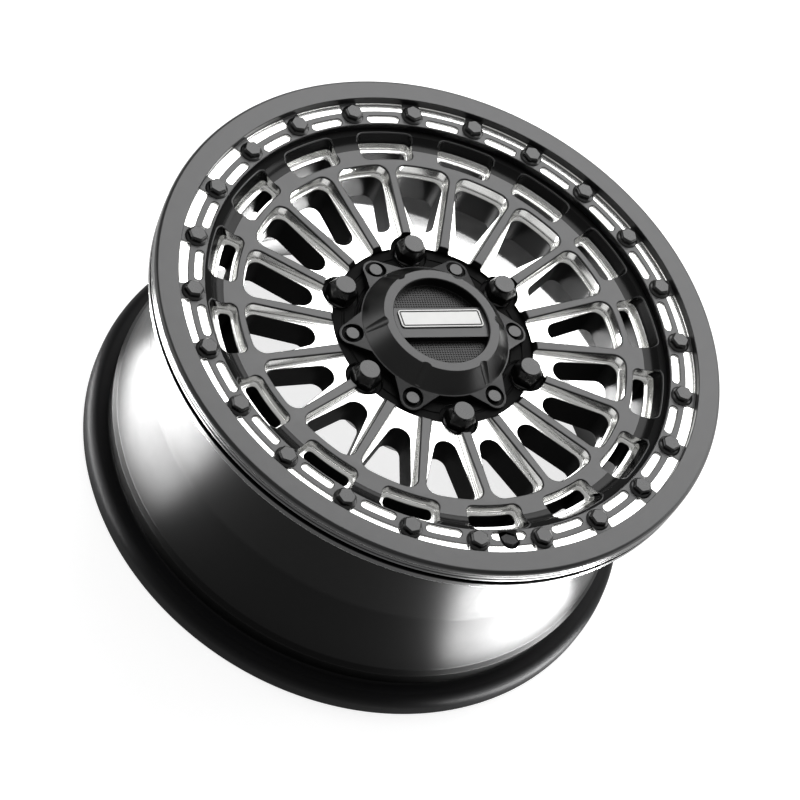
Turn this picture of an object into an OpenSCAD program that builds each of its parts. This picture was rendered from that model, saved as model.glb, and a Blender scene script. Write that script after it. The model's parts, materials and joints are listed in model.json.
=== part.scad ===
// Beadlock wheel, lying on its inboard flange with the street side up.
// The origin is the centre of the inboard flange plane, +Z is the wheel's axis.
// Angles are measured from +X, which runs through one of the lug nuts.

/* [Rim] */
// Radius of the tyre bead seats
bead_seat_r = 190.1; // [188:0.1:193]
// Height of the inboard flange over the bead seats
flange_h = 15.1; // [14:0.1:17]
// Height of the inboard flange's tyre face above the plane it stands on
flange_face_z = 18; // [17:0.5:20]
// Depth of the drop centre below the bead seats
drop_depth = 9.6; // [8:0.1:11]
// Thickness of the barrel wall
barrel_wall = 6; // [5:0.5:7]
// Height of the ring land, where the beadlock ring bears
land_z = 185; // [184:0.5:186]
// Height of the outboard clamping flange over the bead seats
clamp_flange_h = 14.5; // [12:0.1:15]
// Thickness of the outboard clamping flange
clamp_flange_t = 5; // [4:0.5:6]
// Gap left for the tyre bead under the ring
bead_gap = 3.5; // [3:0.5:4.5]

/* [Spoke face] */
// Number of spokes
spoke_count = 18; // [18:1:18]
// Height of the spoke face at the rim
face_z = 181; // [180:0.5:182]
// Height of the spoke face at the hub
face_hub_z = 175.1; // [174:0.1:176]
// Height of the milled window floor
ledge_z = 171; // [170:0.5:172]
// Width of the face between the windows and the ring's bore
face_rim_w = 29.4; // [28:0.2:31]
// Half width of a spoke at the rim end of its window
spoke_half_rim = 2.9; // [2.6:0.1:3.2]
// Half width of a spoke at the hub end
spoke_half_hub = 3.8; // [3.4:0.1:4.2]
// Corner radius of the windows at the face
window_corner = 8; // [6:0.5:9]
// Width of the ledge round the rim end of the through openings
ledge_rim_w = 3; // [2.4:0.1:4]
// Width of the floor between the lug circle and the through openings
ledge_hub_w = 18.95; // [17:0.05:20]
// Thickness of the spokes at the rim
spoke_t = 31; // [28:1:33]

/* [Rim pockets] */
// Number of pockets between the face and the ring
pocket_count = 16; // [16:1:16]
// Width of the face between the windows and the pockets
pocket_gap = 5.4; // [4.5:0.1:6.5]
// Length of a pocket's floor along the radius
pocket_w = 13.8; // [12:0.2:14.6]
// Angle that a pocket takes up, in degrees
pocket_deg = 15.2; // [14:0.2:16]
// Height of the pocket floor
pocket_z = 173; // [172:0.5:174]

/* [Hub] */
// Pitch circle of the lug studs
lug_pcd = 139.7; // [139.7:0.1:139.7]
// Number of lug studs
lug_count = 6; // [6:1:6]
// Radius of the centre bore
bore_r = 53.5; // [52:0.1:54]
// Radius of the pad that the cap stands on
pad_r = 73.6; // [73:0.1:74]
// Height of that pad
pad_z = 169; // [168:0.5:169.5]
// Height of the mounting face at the back of the hub
hub_face_z = 134; // [130:1:138]
// Radius of the lug nut wells
lug_well_r = 13.7; // [13:0.1:14]
// Height of the floor of the lug nut wells
lug_well_z = 166.7; // [166:0.1:167.5]
// Radius of the stud holes
stud_hole_r = 7.5; // [7:0.1:8]

/* [Beadlock ring] */
// Height of the ring over the bead seats
ring_h = 14.9; // [14:0.1:15.1]
// Width of the ring from its bore to its outer edge
ring_w = 36.2; // [35:0.2:37]
// Thickness of the ring at its outer band
ring_t = 10.7; // [10:0.1:11.5]
// Width of the raised outer band
band_w = 16.7; // [16:0.1:17.5]
// Thickness of the ring at the bolts
ring_land_t = 5.35; // [5:0.05:6]
// Number of ring bolts
bolt_count = 24; // [24:1:24]
// Distance of the bolt circle from the ring's outer edge
bolt_inset = 27.2; // [26.8:0.1:27.6]
// Thread diameter of the ring bolts
bolt_d = 8; // [7:0.5:8]
// Width across the flats of a ring bolt head
bolt_af = 12; // [11:0.5:12.5]
// Height of a ring bolt head with its flange
bolt_head_h = 4.85; // [4.5:0.05:5.3]

/* [Cap] */
// Radius over the six feet of the cap
cap_foot_r = 70.4; // [69.6:0.1:71]
// Radius of the cap between its feet
cap_waist_r = 54.4; // [54:0.1:55]
// Radius at the foot of the cap's cone
cone_foot_r = 52.5; // [52:0.1:53]
// Radius at the top of the cap's cone
cone_top_r = 42.6; // [42:0.1:43.5]
// Height of the cap's rim above the pad that it stands on
cap_h = 19; // [17:0.5:21]
// Width of the flat rim round the cap's recess
cap_rim_w = 7.6; // [7:0.1:8.5]
// Depth of that recess
cap_recess_d = 8.5; // [7:0.5:9]
// Width of the bar across the recess
bar_w = 24.6; // [22:0.2:26]
// Width of the plate on the bar
plate_w = 14.5; // [13:0.5:16]
// Gap between the plate's ends and the recess wall
plate_gap = 4; // [3:0.5:6]
// Radius of the circle of the cap screws
cap_screw_circle_r = 61.4; // [61:0.1:62]
// Diameter of a cap screw head
cap_screw_head_d = 9.6; // [9:0.1:10]

/* [Lug nuts] */
// Width across the flats of a lug nut
nut_af = 19; // [18:0.5:19.5]
// Height of the closed end of a lug nut
nut_top_z = 181.6; // [180:0.2:183]
// Diameter of the flat on the closed end
nut_top_d = 13.8; // [13:0.1:14.5]
// Diameter of the stud thread in a lug nut
stud_d = 12; // [12:0.1:12.5]

/* [Valve] */
// Lean of the valve stem from the wheel's axis, in degrees
valve_lean = 24; // [20:1:26]
// Diameter of the valve hole
valve_hole_d = 11.3; // [11.2:0.1:11.6]

/* [Hidden] */
$fn = 96;
// Clearance between parts that stand inside one another
fit_gap = 0.3;
// How far a cutting tool reaches past the surface that it cuts
margin = 2;
// How much larger a rounding circle is drawn, so that it crosses the sides that it rounds
blend = 0.02;

flange_r = bead_seat_r + flange_h;
drop_r = bead_seat_r - drop_depth;
clamp_flange_r = bead_seat_r + clamp_flange_h;
ring_r = bead_seat_r + ring_h;
ring_bore_r = ring_r - ring_w;
band_r = ring_r - band_w;
bolt_circle_r = ring_r - bolt_inset;
window_r = ring_bore_r - face_rim_w;
opening_r = window_r - ledge_rim_w;
pocket_r0 = window_r + pocket_gap;
pocket_r1 = pocket_r0 + pocket_w;
ring_face_z = land_z + ring_t;
ring_land_z = land_z + ring_land_t;
clamp_top_z = land_z - bead_gap;
land_r = clamp_flange_r - 12.6;
tab_end_r = window_r + 14.1;
rise_r = 14;
barrel_in_r = drop_r - barrel_wall;
spoke_pitch = 360 / spoke_count;
lug_circle_r = lug_pcd / 2;
opening_hub_r = lug_circle_r + ledge_hub_w;
lug_seat_r = 10.6;
lug_seat_h = 4.4;
cap_top_z = pad_z + cap_h;
cap_recess_r = cone_top_r - cap_rim_w;
plate_l = 2 * (cap_recess_r - plate_gap);
cap_waist_z = pad_z + 6.8;
cap_tip_z = pad_z + 2.2;
screw_seat_z = pad_z + 2;
bar_drop = 3;
bore_step_z = hub_face_z + 22;
spigot_bore_r = bore_r - 3;
hub_back_r = 79;
valve_well_r = 9.4;
valve_wall = 6;
valve_seal_t = 3.2;
valve_washer_t = 1.2;
valve_stem_r = 4;
valve_neck_z = 8.5;

// A two-figure number for the name of a repeated piece
function two(i) = str(i < 10 ? "0" : "", i);

RING_BOLTS = [for (i = [1:bolt_count]) str("ring_bolt_", two(i))];
LUG_NUTS = [for (i = [1:lug_count]) str("lug_nut_", i)];
CAP_SCREWS = [for (i = [1:lug_count]) str("cap_screw_", i)];

// Geometry helpers

// Turns a (radius, height) outline round the wheel's axis
module turned() rotate_extrude() children();

// A ring sector of the given span, centred on +X, swept from a (radius, height) outline
module sector(span) rotate([0, 0, -span / 2]) rotate_extrude(angle = span) children();

// Repeats its children n times round the axis, the first at the angle phase
module around(n, phase = 0) {
    for (i = [0:n - 1])
        rotate([0, 0, phase + i * 360 / n])
            children();
}

// Centre of a corner circle of radius c that touches the side from a to b and the arc of radius r
function corner_centre(a, b, c, r) =
    let (d = (b - a) / norm(b - a),
         n = [d.y, -d.x],
         p = a + c * n,
         m = p * d,
         k = p * p - pow(r - c, 2))
    p + d * (-m + sqrt(m * m - k));

// Foot of the perpendicular from p on the side from a to b
function foot(a, b, p) = let (d = (b - a) / norm(b - a)) a + d * ((p - a) * d);

// A window outline about +X: sides from hub_pt to rim_pt and mirrored, an outer arc of radius r
// with corners of radius c, and a round hub end of radius h if h is above zero
module window_outline(hub_pt, rim_pt, r, c, h = 0) {
    o = corner_centre(hub_pt, rim_pt, c, r);
    t = foot(hub_pt, rim_pt, o);
    phi = atan2(o.y, o.x);
    far = (r + margin) / cos(phi);
    intersection() {
        circle(r = r);
        union() {
            polygon([hub_pt, t, o, [o.x, -o.y], [t.x, -t.y], [hub_pt.x, -hub_pt.y]]);
            polygon([[hub_pt.x, 0], far * [cos(phi), sin(phi)], far * [cos(phi), -sin(phi)]]);
            translate(o) circle(r = c + blend);
            translate([o.x, -o.y]) circle(r = c + blend);
            if (h > 0) translate([hub_pt.x, 0]) circle(r = h + blend);
        }
    }
}

// Point at radius r along a spoke's centre line and off to its side, seen from a window's axis
function beside_spoke(r, off) =
    let (a = spoke_pitch / 2)
    [r * cos(a) + off * sin(a), r * sin(a) - off * cos(a)];

// Wheel body

// Half section of the casting: barrel, flanges, spoke disc and hub
module body_section() {
    hump_h = 1.5;
    hump_z = flange_face_z + 13;
    seat_end_z = flange_face_z + 18;
    roll_r = 9;
    ramp_z = 90;
    neck_drop = 25;
    neck_z = land_z - neck_drop;
    shoulder_z = land_z - 14;
    clamp_root_z = clamp_top_z - clamp_flange_t;
    back_z = face_z - spoke_t;
    inner_seat_r = bead_seat_r - barrel_wall - 2;
    edge = 0.6;
    small = 2;
    difference() {
        polygon([
            [flange_r - roll_r, 0],
            [flange_r - small, 0],
            [flange_r, small],
            [flange_r, flange_face_z - roll_r],
            [flange_r - roll_r, flange_face_z - roll_r],
            [flange_r - roll_r, flange_face_z],
            [bead_seat_r + small, flange_face_z],
            [bead_seat_r, flange_face_z + small],
            [bead_seat_r, hump_z - hump_h],
            [bead_seat_r + hump_h, hump_z],
            [bead_seat_r + hump_h, hump_z + 1],
            [bead_seat_r - 1, seat_end_z],
            [drop_r + edge, ramp_z],
            [drop_r, ramp_z + 5],
            [drop_r, neck_z],
            [bead_seat_r - small, shoulder_z],
            [land_r, clamp_root_z - hump_h],
            [clamp_flange_r, clamp_root_z],
            [clamp_flange_r, clamp_top_z - edge],
            [clamp_flange_r - edge, clamp_top_z],
            [land_r, clamp_top_z],
            [land_r, land_z],
            [tab_end_r, land_z],
            [tab_end_r, face_z],
            [window_r, face_z],
            [pad_r + small, face_hub_z],
            [pad_r, face_hub_z - 3],
            [pad_r, pad_z],
            [spigot_bore_r, pad_z],
            [spigot_bore_r, bore_step_z],
            [bore_r, bore_step_z],
            [bore_r, hub_face_z],
            [hub_back_r, hub_face_z],
            [hub_back_r + 8, back_z - 1],
            [window_r, back_z],
            [barrel_in_r - 10, back_z - small],
            [barrel_in_r, back_z - 12],
            [barrel_in_r, ramp_z],
            [inner_seat_r, seat_end_z + 1],
            [inner_seat_r, flange_face_z - 4],
            [flange_r - roll_r - edge, hump_h]
        ]);
        translate([tab_end_r, face_z + rise_r]) circle(r = rise_r + blend);
    }
    translate([flange_r - roll_r, flange_face_z - roll_r]) circle(r = roll_r);
}

// Upper, milled part of one window
module window_milled() {
    over = 15;
    translate([0, 0, ledge_z])
        linear_extrude(height = over)
            window_outline(beside_spoke(pad_r - 0.2, spoke_half_hub),
                           beside_spoke(window_r, spoke_half_rim),
                           window_r, window_corner);
}

// The opening through one window's floor
module window_opening() {
    half_deg = 8.1;
    corner = 7;
    hub_end = 8;
    through = 60;
    translate([0, 0, ledge_z + margin - through])
        linear_extrude(height = through)
            window_outline([opening_hub_r + hub_end, hub_end],
                           opening_r * [cos(half_deg), sin(half_deg)],
                           opening_r, corner, hub_end);
}

// Point at radius r and angle a
function polar(r, a) = r * [cos(a), sin(a)];

// Outline of the slot through a pocket's floor, about +X: a ring sector with rounded corners
module pocket_slot_outline() {
    inner_ledge = 3.2;
    outer_ledge = 2.6;
    side_deg = 1.3;
    corner = 3;
    half_deg = pocket_deg / 2 - side_deg;
    r0 = pocket_r0 + inner_ledge;
    r1 = pocket_r1 - outer_ledge;
    a = polar(r0 + corner, half_deg - asin(corner / (r0 + corner)));
    b = polar(r1 - corner, half_deg - asin(corner / (r1 - corner)));
    past = 2 * corner * (b - a) / norm(b - a);
    p = a - past;
    q = b + past;
    foot_a = polar(sqrt(pow(r0 + corner, 2) - pow(corner, 2)), half_deg);
    foot_b = polar(sqrt(pow(r1 - corner, 2) - pow(corner, 2)), half_deg);
    intersection() {
        difference() {
            circle(r = r1);
            circle(r = r0);
        }
        polygon([p, q, [q.x, -q.y], [p.x, -p.y]]);
    }
    for (side = [-1, 1]) {
        polygon([for (v = [a, foot_a, foot_b, b]) [v.x, side * v.y]]);
        translate([a.x, side * a.y]) circle(r = corner + blend);
        translate([b.x, side * b.y]) circle(r = corner + blend);
    }
}

// One pocket between the spoke face and the ring land, and the slot through its floor
module rim_pocket() {
    top = land_z + margin;
    flare = 0.56;
    sector(pocket_deg)
        polygon([[pocket_r0, pocket_z],
                 [pocket_r1, pocket_z],
                 [pocket_r1 + flare * (top - pocket_z), top],
                 [pocket_r0, top]]);
    translate([0, 0, hub_face_z])
        linear_extrude(height = pocket_z + margin - hub_face_z) pocket_slot_outline();
}

// A lug nut's well, its conical seat and the stud hole
module lug_bore() {
    through = 60;
    translate([lug_circle_r, 0, lug_well_z]) {
        cylinder(r = lug_well_r, h = face_z - lug_well_z + margin);
        translate([0, 0, -lug_seat_h]) cylinder(r1 = stud_hole_r, r2 = lug_seat_r, h = lug_seat_h);
        translate([0, 0, -0.05]) cylinder(r = lug_seat_r, h = margin);
        translate([0, 0, -through]) cylinder(r = stud_hole_r, h = through);
    }
}

// Places its children on the valve's own axis, z = 0 at the face that the nut clamps
module at_valve() {
    seat_r = bead_seat_r - 8.7;
    seat_z = land_z - 8.8;
    rotate([0, 0, 180])
        translate([seat_r, 0, seat_z])
            rotate([0, -valve_lean, 0])
                children();
}

module wheel_body() {
    bolt_hole_depth = 20;
    screw_hole_depth = 14;
    screw_hole_d = 6;
    well_depth = 14;
    reach = 30;
    color("#6b6b6b")
        difference() {
            turned() body_section();
            around(spoke_count, spoke_pitch / 2) window_milled();
            around(spoke_count, spoke_pitch / 2) window_opening();
            around(pocket_count) rim_pocket();
            around(lug_count) lug_bore();
            around(bolt_count, 180 / bolt_count)
                translate([bolt_circle_r, 0, land_z - bolt_hole_depth])
                    cylinder(d = bolt_d, h = bolt_hole_depth + margin);
            around(lug_count, 180 / lug_count)
                translate([cap_screw_circle_r, 0, pad_z - screw_hole_depth])
                    cylinder(d = screw_hole_d, h = screw_hole_depth + margin);
            at_valve() {
                cylinder(r = valve_well_r, h = reach);
                translate([0, 0, -reach]) cylinder(d = valve_hole_d, h = reach + margin);
                translate([0, 0, -valve_wall - well_depth]) cylinder(r = valve_well_r, h = well_depth);
            }
        }
}

// Beadlock ring

// Half section of the ring: its bolted land and its raised, rounded outer band
module ring_section() {
    edge_r = 3;
    edge = 0.5;
    relief = 0.4;
    band_bottom_z = land_z + relief;
    polygon([
        [ring_bore_r, land_z],
        [land_r - 1, land_z],
        [land_r, band_bottom_z],
        [ring_r - 1, band_bottom_z],
        [ring_r, band_bottom_z + 1],
        [ring_r, ring_face_z - edge_r],
        [ring_r - edge_r, ring_face_z - edge_r],
        [ring_r - edge_r, ring_face_z],
        [band_r + edge, ring_face_z],
        [band_r, ring_face_z - edge],
        [band_r, ring_land_z],
        [ring_bore_r + edge, ring_land_z],
        [ring_bore_r, ring_land_z - edge]
    ]);
    translate([ring_r - edge_r, ring_face_z - edge_r]) circle(r = edge_r);
}

// Outline of one milled slot in the ring's land, about +X
module land_slot() {
    mid_r = bolt_circle_r - 4.35;
    half_w = 2.9;
    half_deg = 3.1;
    far = ring_r;
    intersection() {
        difference() {
            circle(r = mid_r + half_w);
            circle(r = mid_r - half_w);
        }
        polygon([[0, 0], far * [cos(half_deg), sin(half_deg)], far * [cos(half_deg), -sin(half_deg)]]);
    }
    rotate(half_deg) translate([mid_r, 0]) circle(r = half_w + blend);
    rotate(-half_deg) translate([mid_r, 0]) circle(r = half_w + blend);
}

// Outline of the notch that the valve stands in, about +X
module valve_notch() {
    end_r = bolt_circle_r + 5.2;
    half_w = 6.6;
    mid_r = end_r - half_w;
    translate([mid_r, 0]) circle(r = half_w + blend);
    translate([ring_bore_r - 5, -half_w]) square([mid_r - ring_bore_r + 5, 2 * half_w]);
}

module beadlock_ring() {
    slot_depth = 1.5;
    strip_depth = 0.9;
    strip_span = 8.6;
    strip_w = 7.3;
    strip_lip = 0.3;
    bolt_pitch = 360 / bolt_count;
    valve_at = bolt_count / 2;
    color("#6b6b6b")
        difference() {
            turned() ring_section();
            for (i = [0:bolt_count - 1])
                rotate([0, 0, i * bolt_pitch]) {
                    sector(strip_span)
                        translate([band_r - strip_lip - strip_w, ring_land_z - strip_depth])
                            square([strip_w, strip_depth + margin]);
                    if (i != valve_at)
                        translate([0, 0, ring_land_z - slot_depth])
                            linear_extrude(height = slot_depth + margin) land_slot();
                }
            around(bolt_count, bolt_pitch / 2)
                translate([bolt_circle_r, 0, land_z - 1])
                    cylinder(d = bolt_d + 1, h = ring_t);
            rotate([0, 0, 180])
                translate([0, 0, land_z - 1])
                    linear_extrude(height = ring_t) valve_notch();
        }
}

// Fasteners

module hex_prism(af, h) cylinder(r = af / 2 / cos(30), h = h, $fn = 6);

// One ring bolt: hex head with a flange, and its shank
module ring_bolt(i) {
    washer_t = 1.3;
    washer_r = bolt_af / 2 + 2;
    shank_l = 23;
    crown_h = 1;
    head_r = bolt_af / 2 / cos(30);
    rotate([0, 0, (i - 0.5) * 360 / bolt_count])
        translate([bolt_circle_r, 0, ring_land_z])
            color("#161616") {
                cylinder(r = washer_r, h = washer_t);
                intersection() {
                    hex_prism(bolt_af, bolt_head_h);
                    union() {
                        cylinder(r = head_r, h = bolt_head_h - crown_h);
                        translate([0, 0, bolt_head_h - crown_h])
                            cylinder(r1 = head_r, r2 = bolt_af / 2 - 0.7, h = crown_h);
                    }
                }
                translate([0, 0, -shank_l]) cylinder(r = bolt_d / 2 - fit_gap, h = shank_l + 1);
            }
}

// One lug nut: cone seat, hex body drawn in to a closed round end, and its threaded bore
module lug_nut(i) {
    bore_depth = 16;
    collar_h = 1.6;
    shoulder_h = 5.5;
    edge = 0.6;
    corner_r = nut_af / 2 / cos(30);
    neck_r = nut_top_d / 2 + edge;
    base_z = lug_well_z + fit_gap;
    body_h = nut_top_z - base_z;
    rotate([0, 0, (i - 1) * 360 / lug_count])
        translate([lug_circle_r, 0, base_z])
            color("#121212")
                difference() {
                    union() {
                        intersection() {
                            hex_prism(nut_af, body_h);
                            union() {
                                cylinder(r = corner_r, h = body_h - shoulder_h);
                                translate([0, 0, body_h - shoulder_h])
                                    cylinder(r1 = corner_r, r2 = neck_r, h = shoulder_h - edge);
                                translate([0, 0, body_h - edge])
                                    cylinder(r1 = neck_r, r2 = nut_top_d / 2, h = edge);
                            }
                        }
                        translate([0, 0, -lug_seat_h])
                            cylinder(r1 = stud_hole_r - fit_gap, r2 = lug_seat_r - fit_gap, h = lug_seat_h);
                        cylinder(r = lug_seat_r - fit_gap, h = collar_h);
                    }
                    translate([0, 0, -lug_seat_h - margin])
                        cylinder(d = stud_d, h = bore_depth + margin);
                }
}

// Centre cap

// Half section of the cap: skirt, feet, cone and round rim
module cap_section() {
    skirt_r = spigot_bore_r - fit_gap;
    skirt_depth = 6;
    wall = 3.5;
    floor_t = 3;
    edge = 0.5;
    floor_z = cap_top_z - cap_recess_d;
    polygon([
        [0, floor_z - floor_t],
        [cone_top_r - wall - 2, floor_z - floor_t],
        [skirt_r - wall, pad_z + 1],
        [skirt_r - wall, pad_z - skirt_depth],
        [skirt_r, pad_z - skirt_depth],
        [skirt_r, pad_z],
        [cap_foot_r + 2, pad_z],
        [cap_foot_r + 2, cap_tip_z - edge],
        [cone_foot_r + 1, cap_waist_z - edge],
        [cone_foot_r, cap_waist_z + edge],
        [cone_top_r, cap_top_z - edge],
        [cone_top_r - edge, cap_top_z],
        [cap_recess_r + edge, cap_top_z],
        [cap_recess_r, cap_top_z - edge],
        [cap_recess_r, floor_z],
        [0, floor_z]
    ]);
}

// Plan of the cap: a round waist with six feet that carry the screws
module cap_plan() {
    boss_r = cap_foot_r - cap_screw_circle_r;
    tangent_deg = 70;
    root_deg = 22;
    root = (cap_waist_r - 3) * [cos(root_deg), sin(root_deg)];
    tip = [cap_screw_circle_r + boss_r * cos(tangent_deg), boss_r * sin(tangent_deg)];
    circle(r = cap_waist_r);
    around(lug_count, 180 / lug_count) {
        translate([cap_screw_circle_r, 0]) circle(r = boss_r + blend);
        polygon([[root.x, -root.y], [tip.x, -tip.y], tip, root]);
    }
}

module centre_cap() {
    flute_r = 6;
    flute_depth = 2.4;
    flute_lean = 45;
    flute_l = (cap_top_z - cap_waist_z) / cos(flute_lean);
    head_well_r = 7.3;
    screw_pass_d = 6.6;
    reach = 40;
    color("#6b6b6b")
        difference() {
            union() {
                intersection() {
                    turned() cap_section();
                    translate([0, 0, pad_z - 10]) linear_extrude(height = reach) cap_plan();
                }
                intersection() {
                    translate([0, 0, cap_top_z - cap_recess_d - 1])
                        cylinder(r = cap_recess_r + 1, h = cap_recess_d + 1 - bar_drop);
                    translate([-bar_w / 2, -reach, pad_z]) cube([bar_w, 2 * reach, reach]);
                }
            }
            around(lug_count, 180 / lug_count) {
                translate([cap_screw_circle_r, 0, screw_seat_z]) cylinder(r = head_well_r, h = reach);
                translate([cap_screw_circle_r, 0, pad_z - 1]) cylinder(d = screw_pass_d, h = reach);
                translate([cone_top_r - flute_depth, 0, cap_top_z])
                    rotate([0, -flute_lean, 0])
                        translate([flute_r, 0, -flute_l]) cylinder(r = flute_r, h = reach);
            }
        }
}

// Outline of the plate on the cap's bar, drawn in by the given inset
module plate_outline(inset) {
    half_w = plate_w / 2 - inset;
    half_l = plate_l / 2 - inset;
    lean = 0.15;
    slant = 0.3;
    polygon([[-half_w - lean, half_l - slant], [half_w - lean, half_l + slant],
             [half_w + lean, slant - half_l], [lean - half_w, -half_l - slant]]);
}

// The plain bordered plate on the cap's bar
module cap_badge() {
    plate_t = 1.2;
    border = 1.1;
    groove = 1;
    groove_depth = 0.4;
    centre = [2.8, -0.7];
    color("#f0f0f0")
        translate([centre.x, centre.y, cap_top_z - bar_drop])
            difference() {
                linear_extrude(height = plate_t) plate_outline(0);
                translate([0, 0, plate_t - groove_depth])
                    linear_extrude(height = groove_depth + margin)
                        difference() {
                            plate_outline(border);
                            plate_outline(border + groove);
                        }
            }
}

// One screw that holds the cap to the hub
module cap_screw(i) {
    head_h = 3.1;
    edge = 0.4;
    shank_r = 2.7;
    shank_l = 14;
    rotate([0, 0, (i - 0.5) * 360 / lug_count])
        translate([cap_screw_circle_r, 0, screw_seat_z])
            color("#6b6b6b") {
                cylinder(d = cap_screw_head_d, h = head_h - edge);
                translate([0, 0, head_h - edge])
                    cylinder(d1 = cap_screw_head_d, d2 = cap_screw_head_d - 2 * edge, h = edge);
                translate([0, 0, -shank_l]) cylinder(r = shank_r, h = shank_l + 1);
            }
}

// Valve

module valve_stem() {
    foot_r = 8;
    foot_t = 2;
    neck_r = 3.4;
    neck_h = 3.5;
    air_r = 1.6;
    foot_z = -valve_wall - valve_seal_t;
    color("#202020")
        at_valve()
            difference() {
                union() {
                    translate([0, 0, foot_z - foot_t]) cylinder(r = foot_r, h = foot_t);
                    translate([0, 0, foot_z - 1]) cylinder(r = valve_stem_r, h = valve_neck_z - foot_z + 1);
                    translate([0, 0, valve_neck_z - 1]) cylinder(r = neck_r, h = neck_h + 1);
                }
                translate([0, 0, foot_z - foot_t - 1]) cylinder(r = air_r, h = valve_neck_z + neck_h - foot_z + foot_t + 2);
            }
}

// A disc of height h with a hole that clears the valve stem, standing on the valve's height z
module on_stem(z, h) {
    at_valve()
        translate([0, 0, z])
            difference() {
                children();
                translate([0, 0, -1]) cylinder(r = valve_stem_r + fit_gap, h = h + 2);
            }
}

module valve_seal() {
    color("#0c0c0c")
        on_stem(-valve_wall - valve_seal_t, valve_seal_t)
            cylinder(r = valve_well_r - 1.2, h = valve_seal_t);
}

module valve_washer() {
    color("#303030")
        on_stem(0, valve_washer_t) cylinder(r = valve_well_r - 1.8, h = valve_washer_t);
}

module valve_nut() {
    af = 13;
    nut_h = 6;
    color("#202020")
        on_stem(valve_washer_t, nut_h) hex_prism(af, nut_h);
}

module valve_cap() {
    af = 10;
    cap_h = 6;
    cavity_r = 3.7;
    cavity_h = 4;
    color("#202020")
        at_valve()
            translate([0, 0, valve_neck_z])
                difference() {
                    hex_prism(af, cap_h);
                    translate([0, 0, -1]) cylinder(r = cavity_r, h = cavity_h + 1);
                }
}

wheel_body();
beadlock_ring();
centre_cap();
cap_badge();
valve_stem();
valve_seal();
valve_washer();
valve_nut();
valve_cap();
for (i = [1:bolt_count])
    ring_bolt(i);
for (i = [1:lug_count]) {
    lug_nut(i);
    cap_screw(i);
}
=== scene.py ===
"""Looks of a beadlock wheel: painted casting, milled windows, bolted ring, cap, nuts and valve.

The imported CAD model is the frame. The casting, the ring, the fasteners and the cap's plate are built
again here from the same sizes, with the eased edges and hollow corners that the solids leave out, and
stand for their CAD nodes. The cap and the valve keep their CAD shapes.
"""

from __future__ import annotations

import json
import logging
import math
from collections.abc import Callable
from dataclasses import dataclass
from enum import Enum

import bmesh
import bpy
from mathutils import Matrix, Vector

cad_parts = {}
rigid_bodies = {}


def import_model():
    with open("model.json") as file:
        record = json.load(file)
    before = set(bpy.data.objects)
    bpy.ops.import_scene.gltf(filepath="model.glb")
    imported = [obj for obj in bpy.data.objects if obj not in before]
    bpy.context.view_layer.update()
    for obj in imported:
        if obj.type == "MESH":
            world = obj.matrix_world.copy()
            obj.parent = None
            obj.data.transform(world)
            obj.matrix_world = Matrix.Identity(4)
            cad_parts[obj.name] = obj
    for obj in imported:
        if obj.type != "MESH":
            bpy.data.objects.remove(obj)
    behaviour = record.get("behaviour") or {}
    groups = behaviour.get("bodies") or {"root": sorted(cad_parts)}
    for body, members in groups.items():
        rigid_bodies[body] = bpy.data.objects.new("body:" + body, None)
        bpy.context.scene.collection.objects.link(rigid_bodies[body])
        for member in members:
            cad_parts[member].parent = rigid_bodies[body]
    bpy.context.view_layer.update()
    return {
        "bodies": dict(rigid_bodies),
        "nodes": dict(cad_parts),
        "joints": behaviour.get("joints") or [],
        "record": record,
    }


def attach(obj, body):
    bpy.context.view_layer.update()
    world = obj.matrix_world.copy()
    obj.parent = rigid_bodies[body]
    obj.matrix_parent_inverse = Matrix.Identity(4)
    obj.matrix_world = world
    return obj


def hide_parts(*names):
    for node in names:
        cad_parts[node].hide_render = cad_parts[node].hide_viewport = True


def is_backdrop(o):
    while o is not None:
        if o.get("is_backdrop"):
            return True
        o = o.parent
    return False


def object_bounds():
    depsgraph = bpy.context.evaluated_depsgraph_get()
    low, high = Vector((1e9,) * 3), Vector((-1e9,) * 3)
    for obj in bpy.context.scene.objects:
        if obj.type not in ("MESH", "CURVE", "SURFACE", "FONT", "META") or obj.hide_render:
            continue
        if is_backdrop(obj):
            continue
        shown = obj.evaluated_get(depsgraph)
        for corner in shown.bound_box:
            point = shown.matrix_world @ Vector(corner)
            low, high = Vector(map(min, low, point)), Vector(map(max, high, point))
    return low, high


LOG = logging.getLogger("beadlock_wheel")
MM = 0.001
TURN = 2 * math.pi
ROUND = 48  # points round a fastener
NO_CORNER = math.radians(89.5)  # half an angle past which two sides count as one straight line
WELD = 2e-6  # metres within which points are merged
SLIVER = 1e-6  # metres under which an edge is dissolved

Flat = tuple[float, float]
Point = tuple[float, float, float]
Plan = list[Flat]
Loop = list[Point]
Outline = Callable[[float, float], Plan]
Placed = list[tuple[bpy.types.Mesh, Matrix]]


class Surface(Enum):
    """Which finish a face takes: its place in the list of a piece's materials."""

    PAINT = 0
    MILLED = 1
    BARREL = 2
    SHADE_BLACK = 3
    FLANGE = 4
    HOLLOW_SHADE = 5
    INSIDE = 6


# Node helpers


def linear(hex_colour: str) -> tuple[float, float, float, float]:
    """Turns an sRGB hex colour to linear values.

    Args:
        hex_colour: Six hex digits with a leading hash.

    Returns:
        Red, green, blue and an alpha of 1.
    """
    parts = [int(hex_colour[i : i + 2], 16) / 255 for i in (1, 3, 5)]
    r, g, b = (c / 12.92 if c <= 0.04045 else ((c + 0.055) / 1.055) ** 2.4 for c in parts)
    return r, g, b, 1.0


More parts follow.
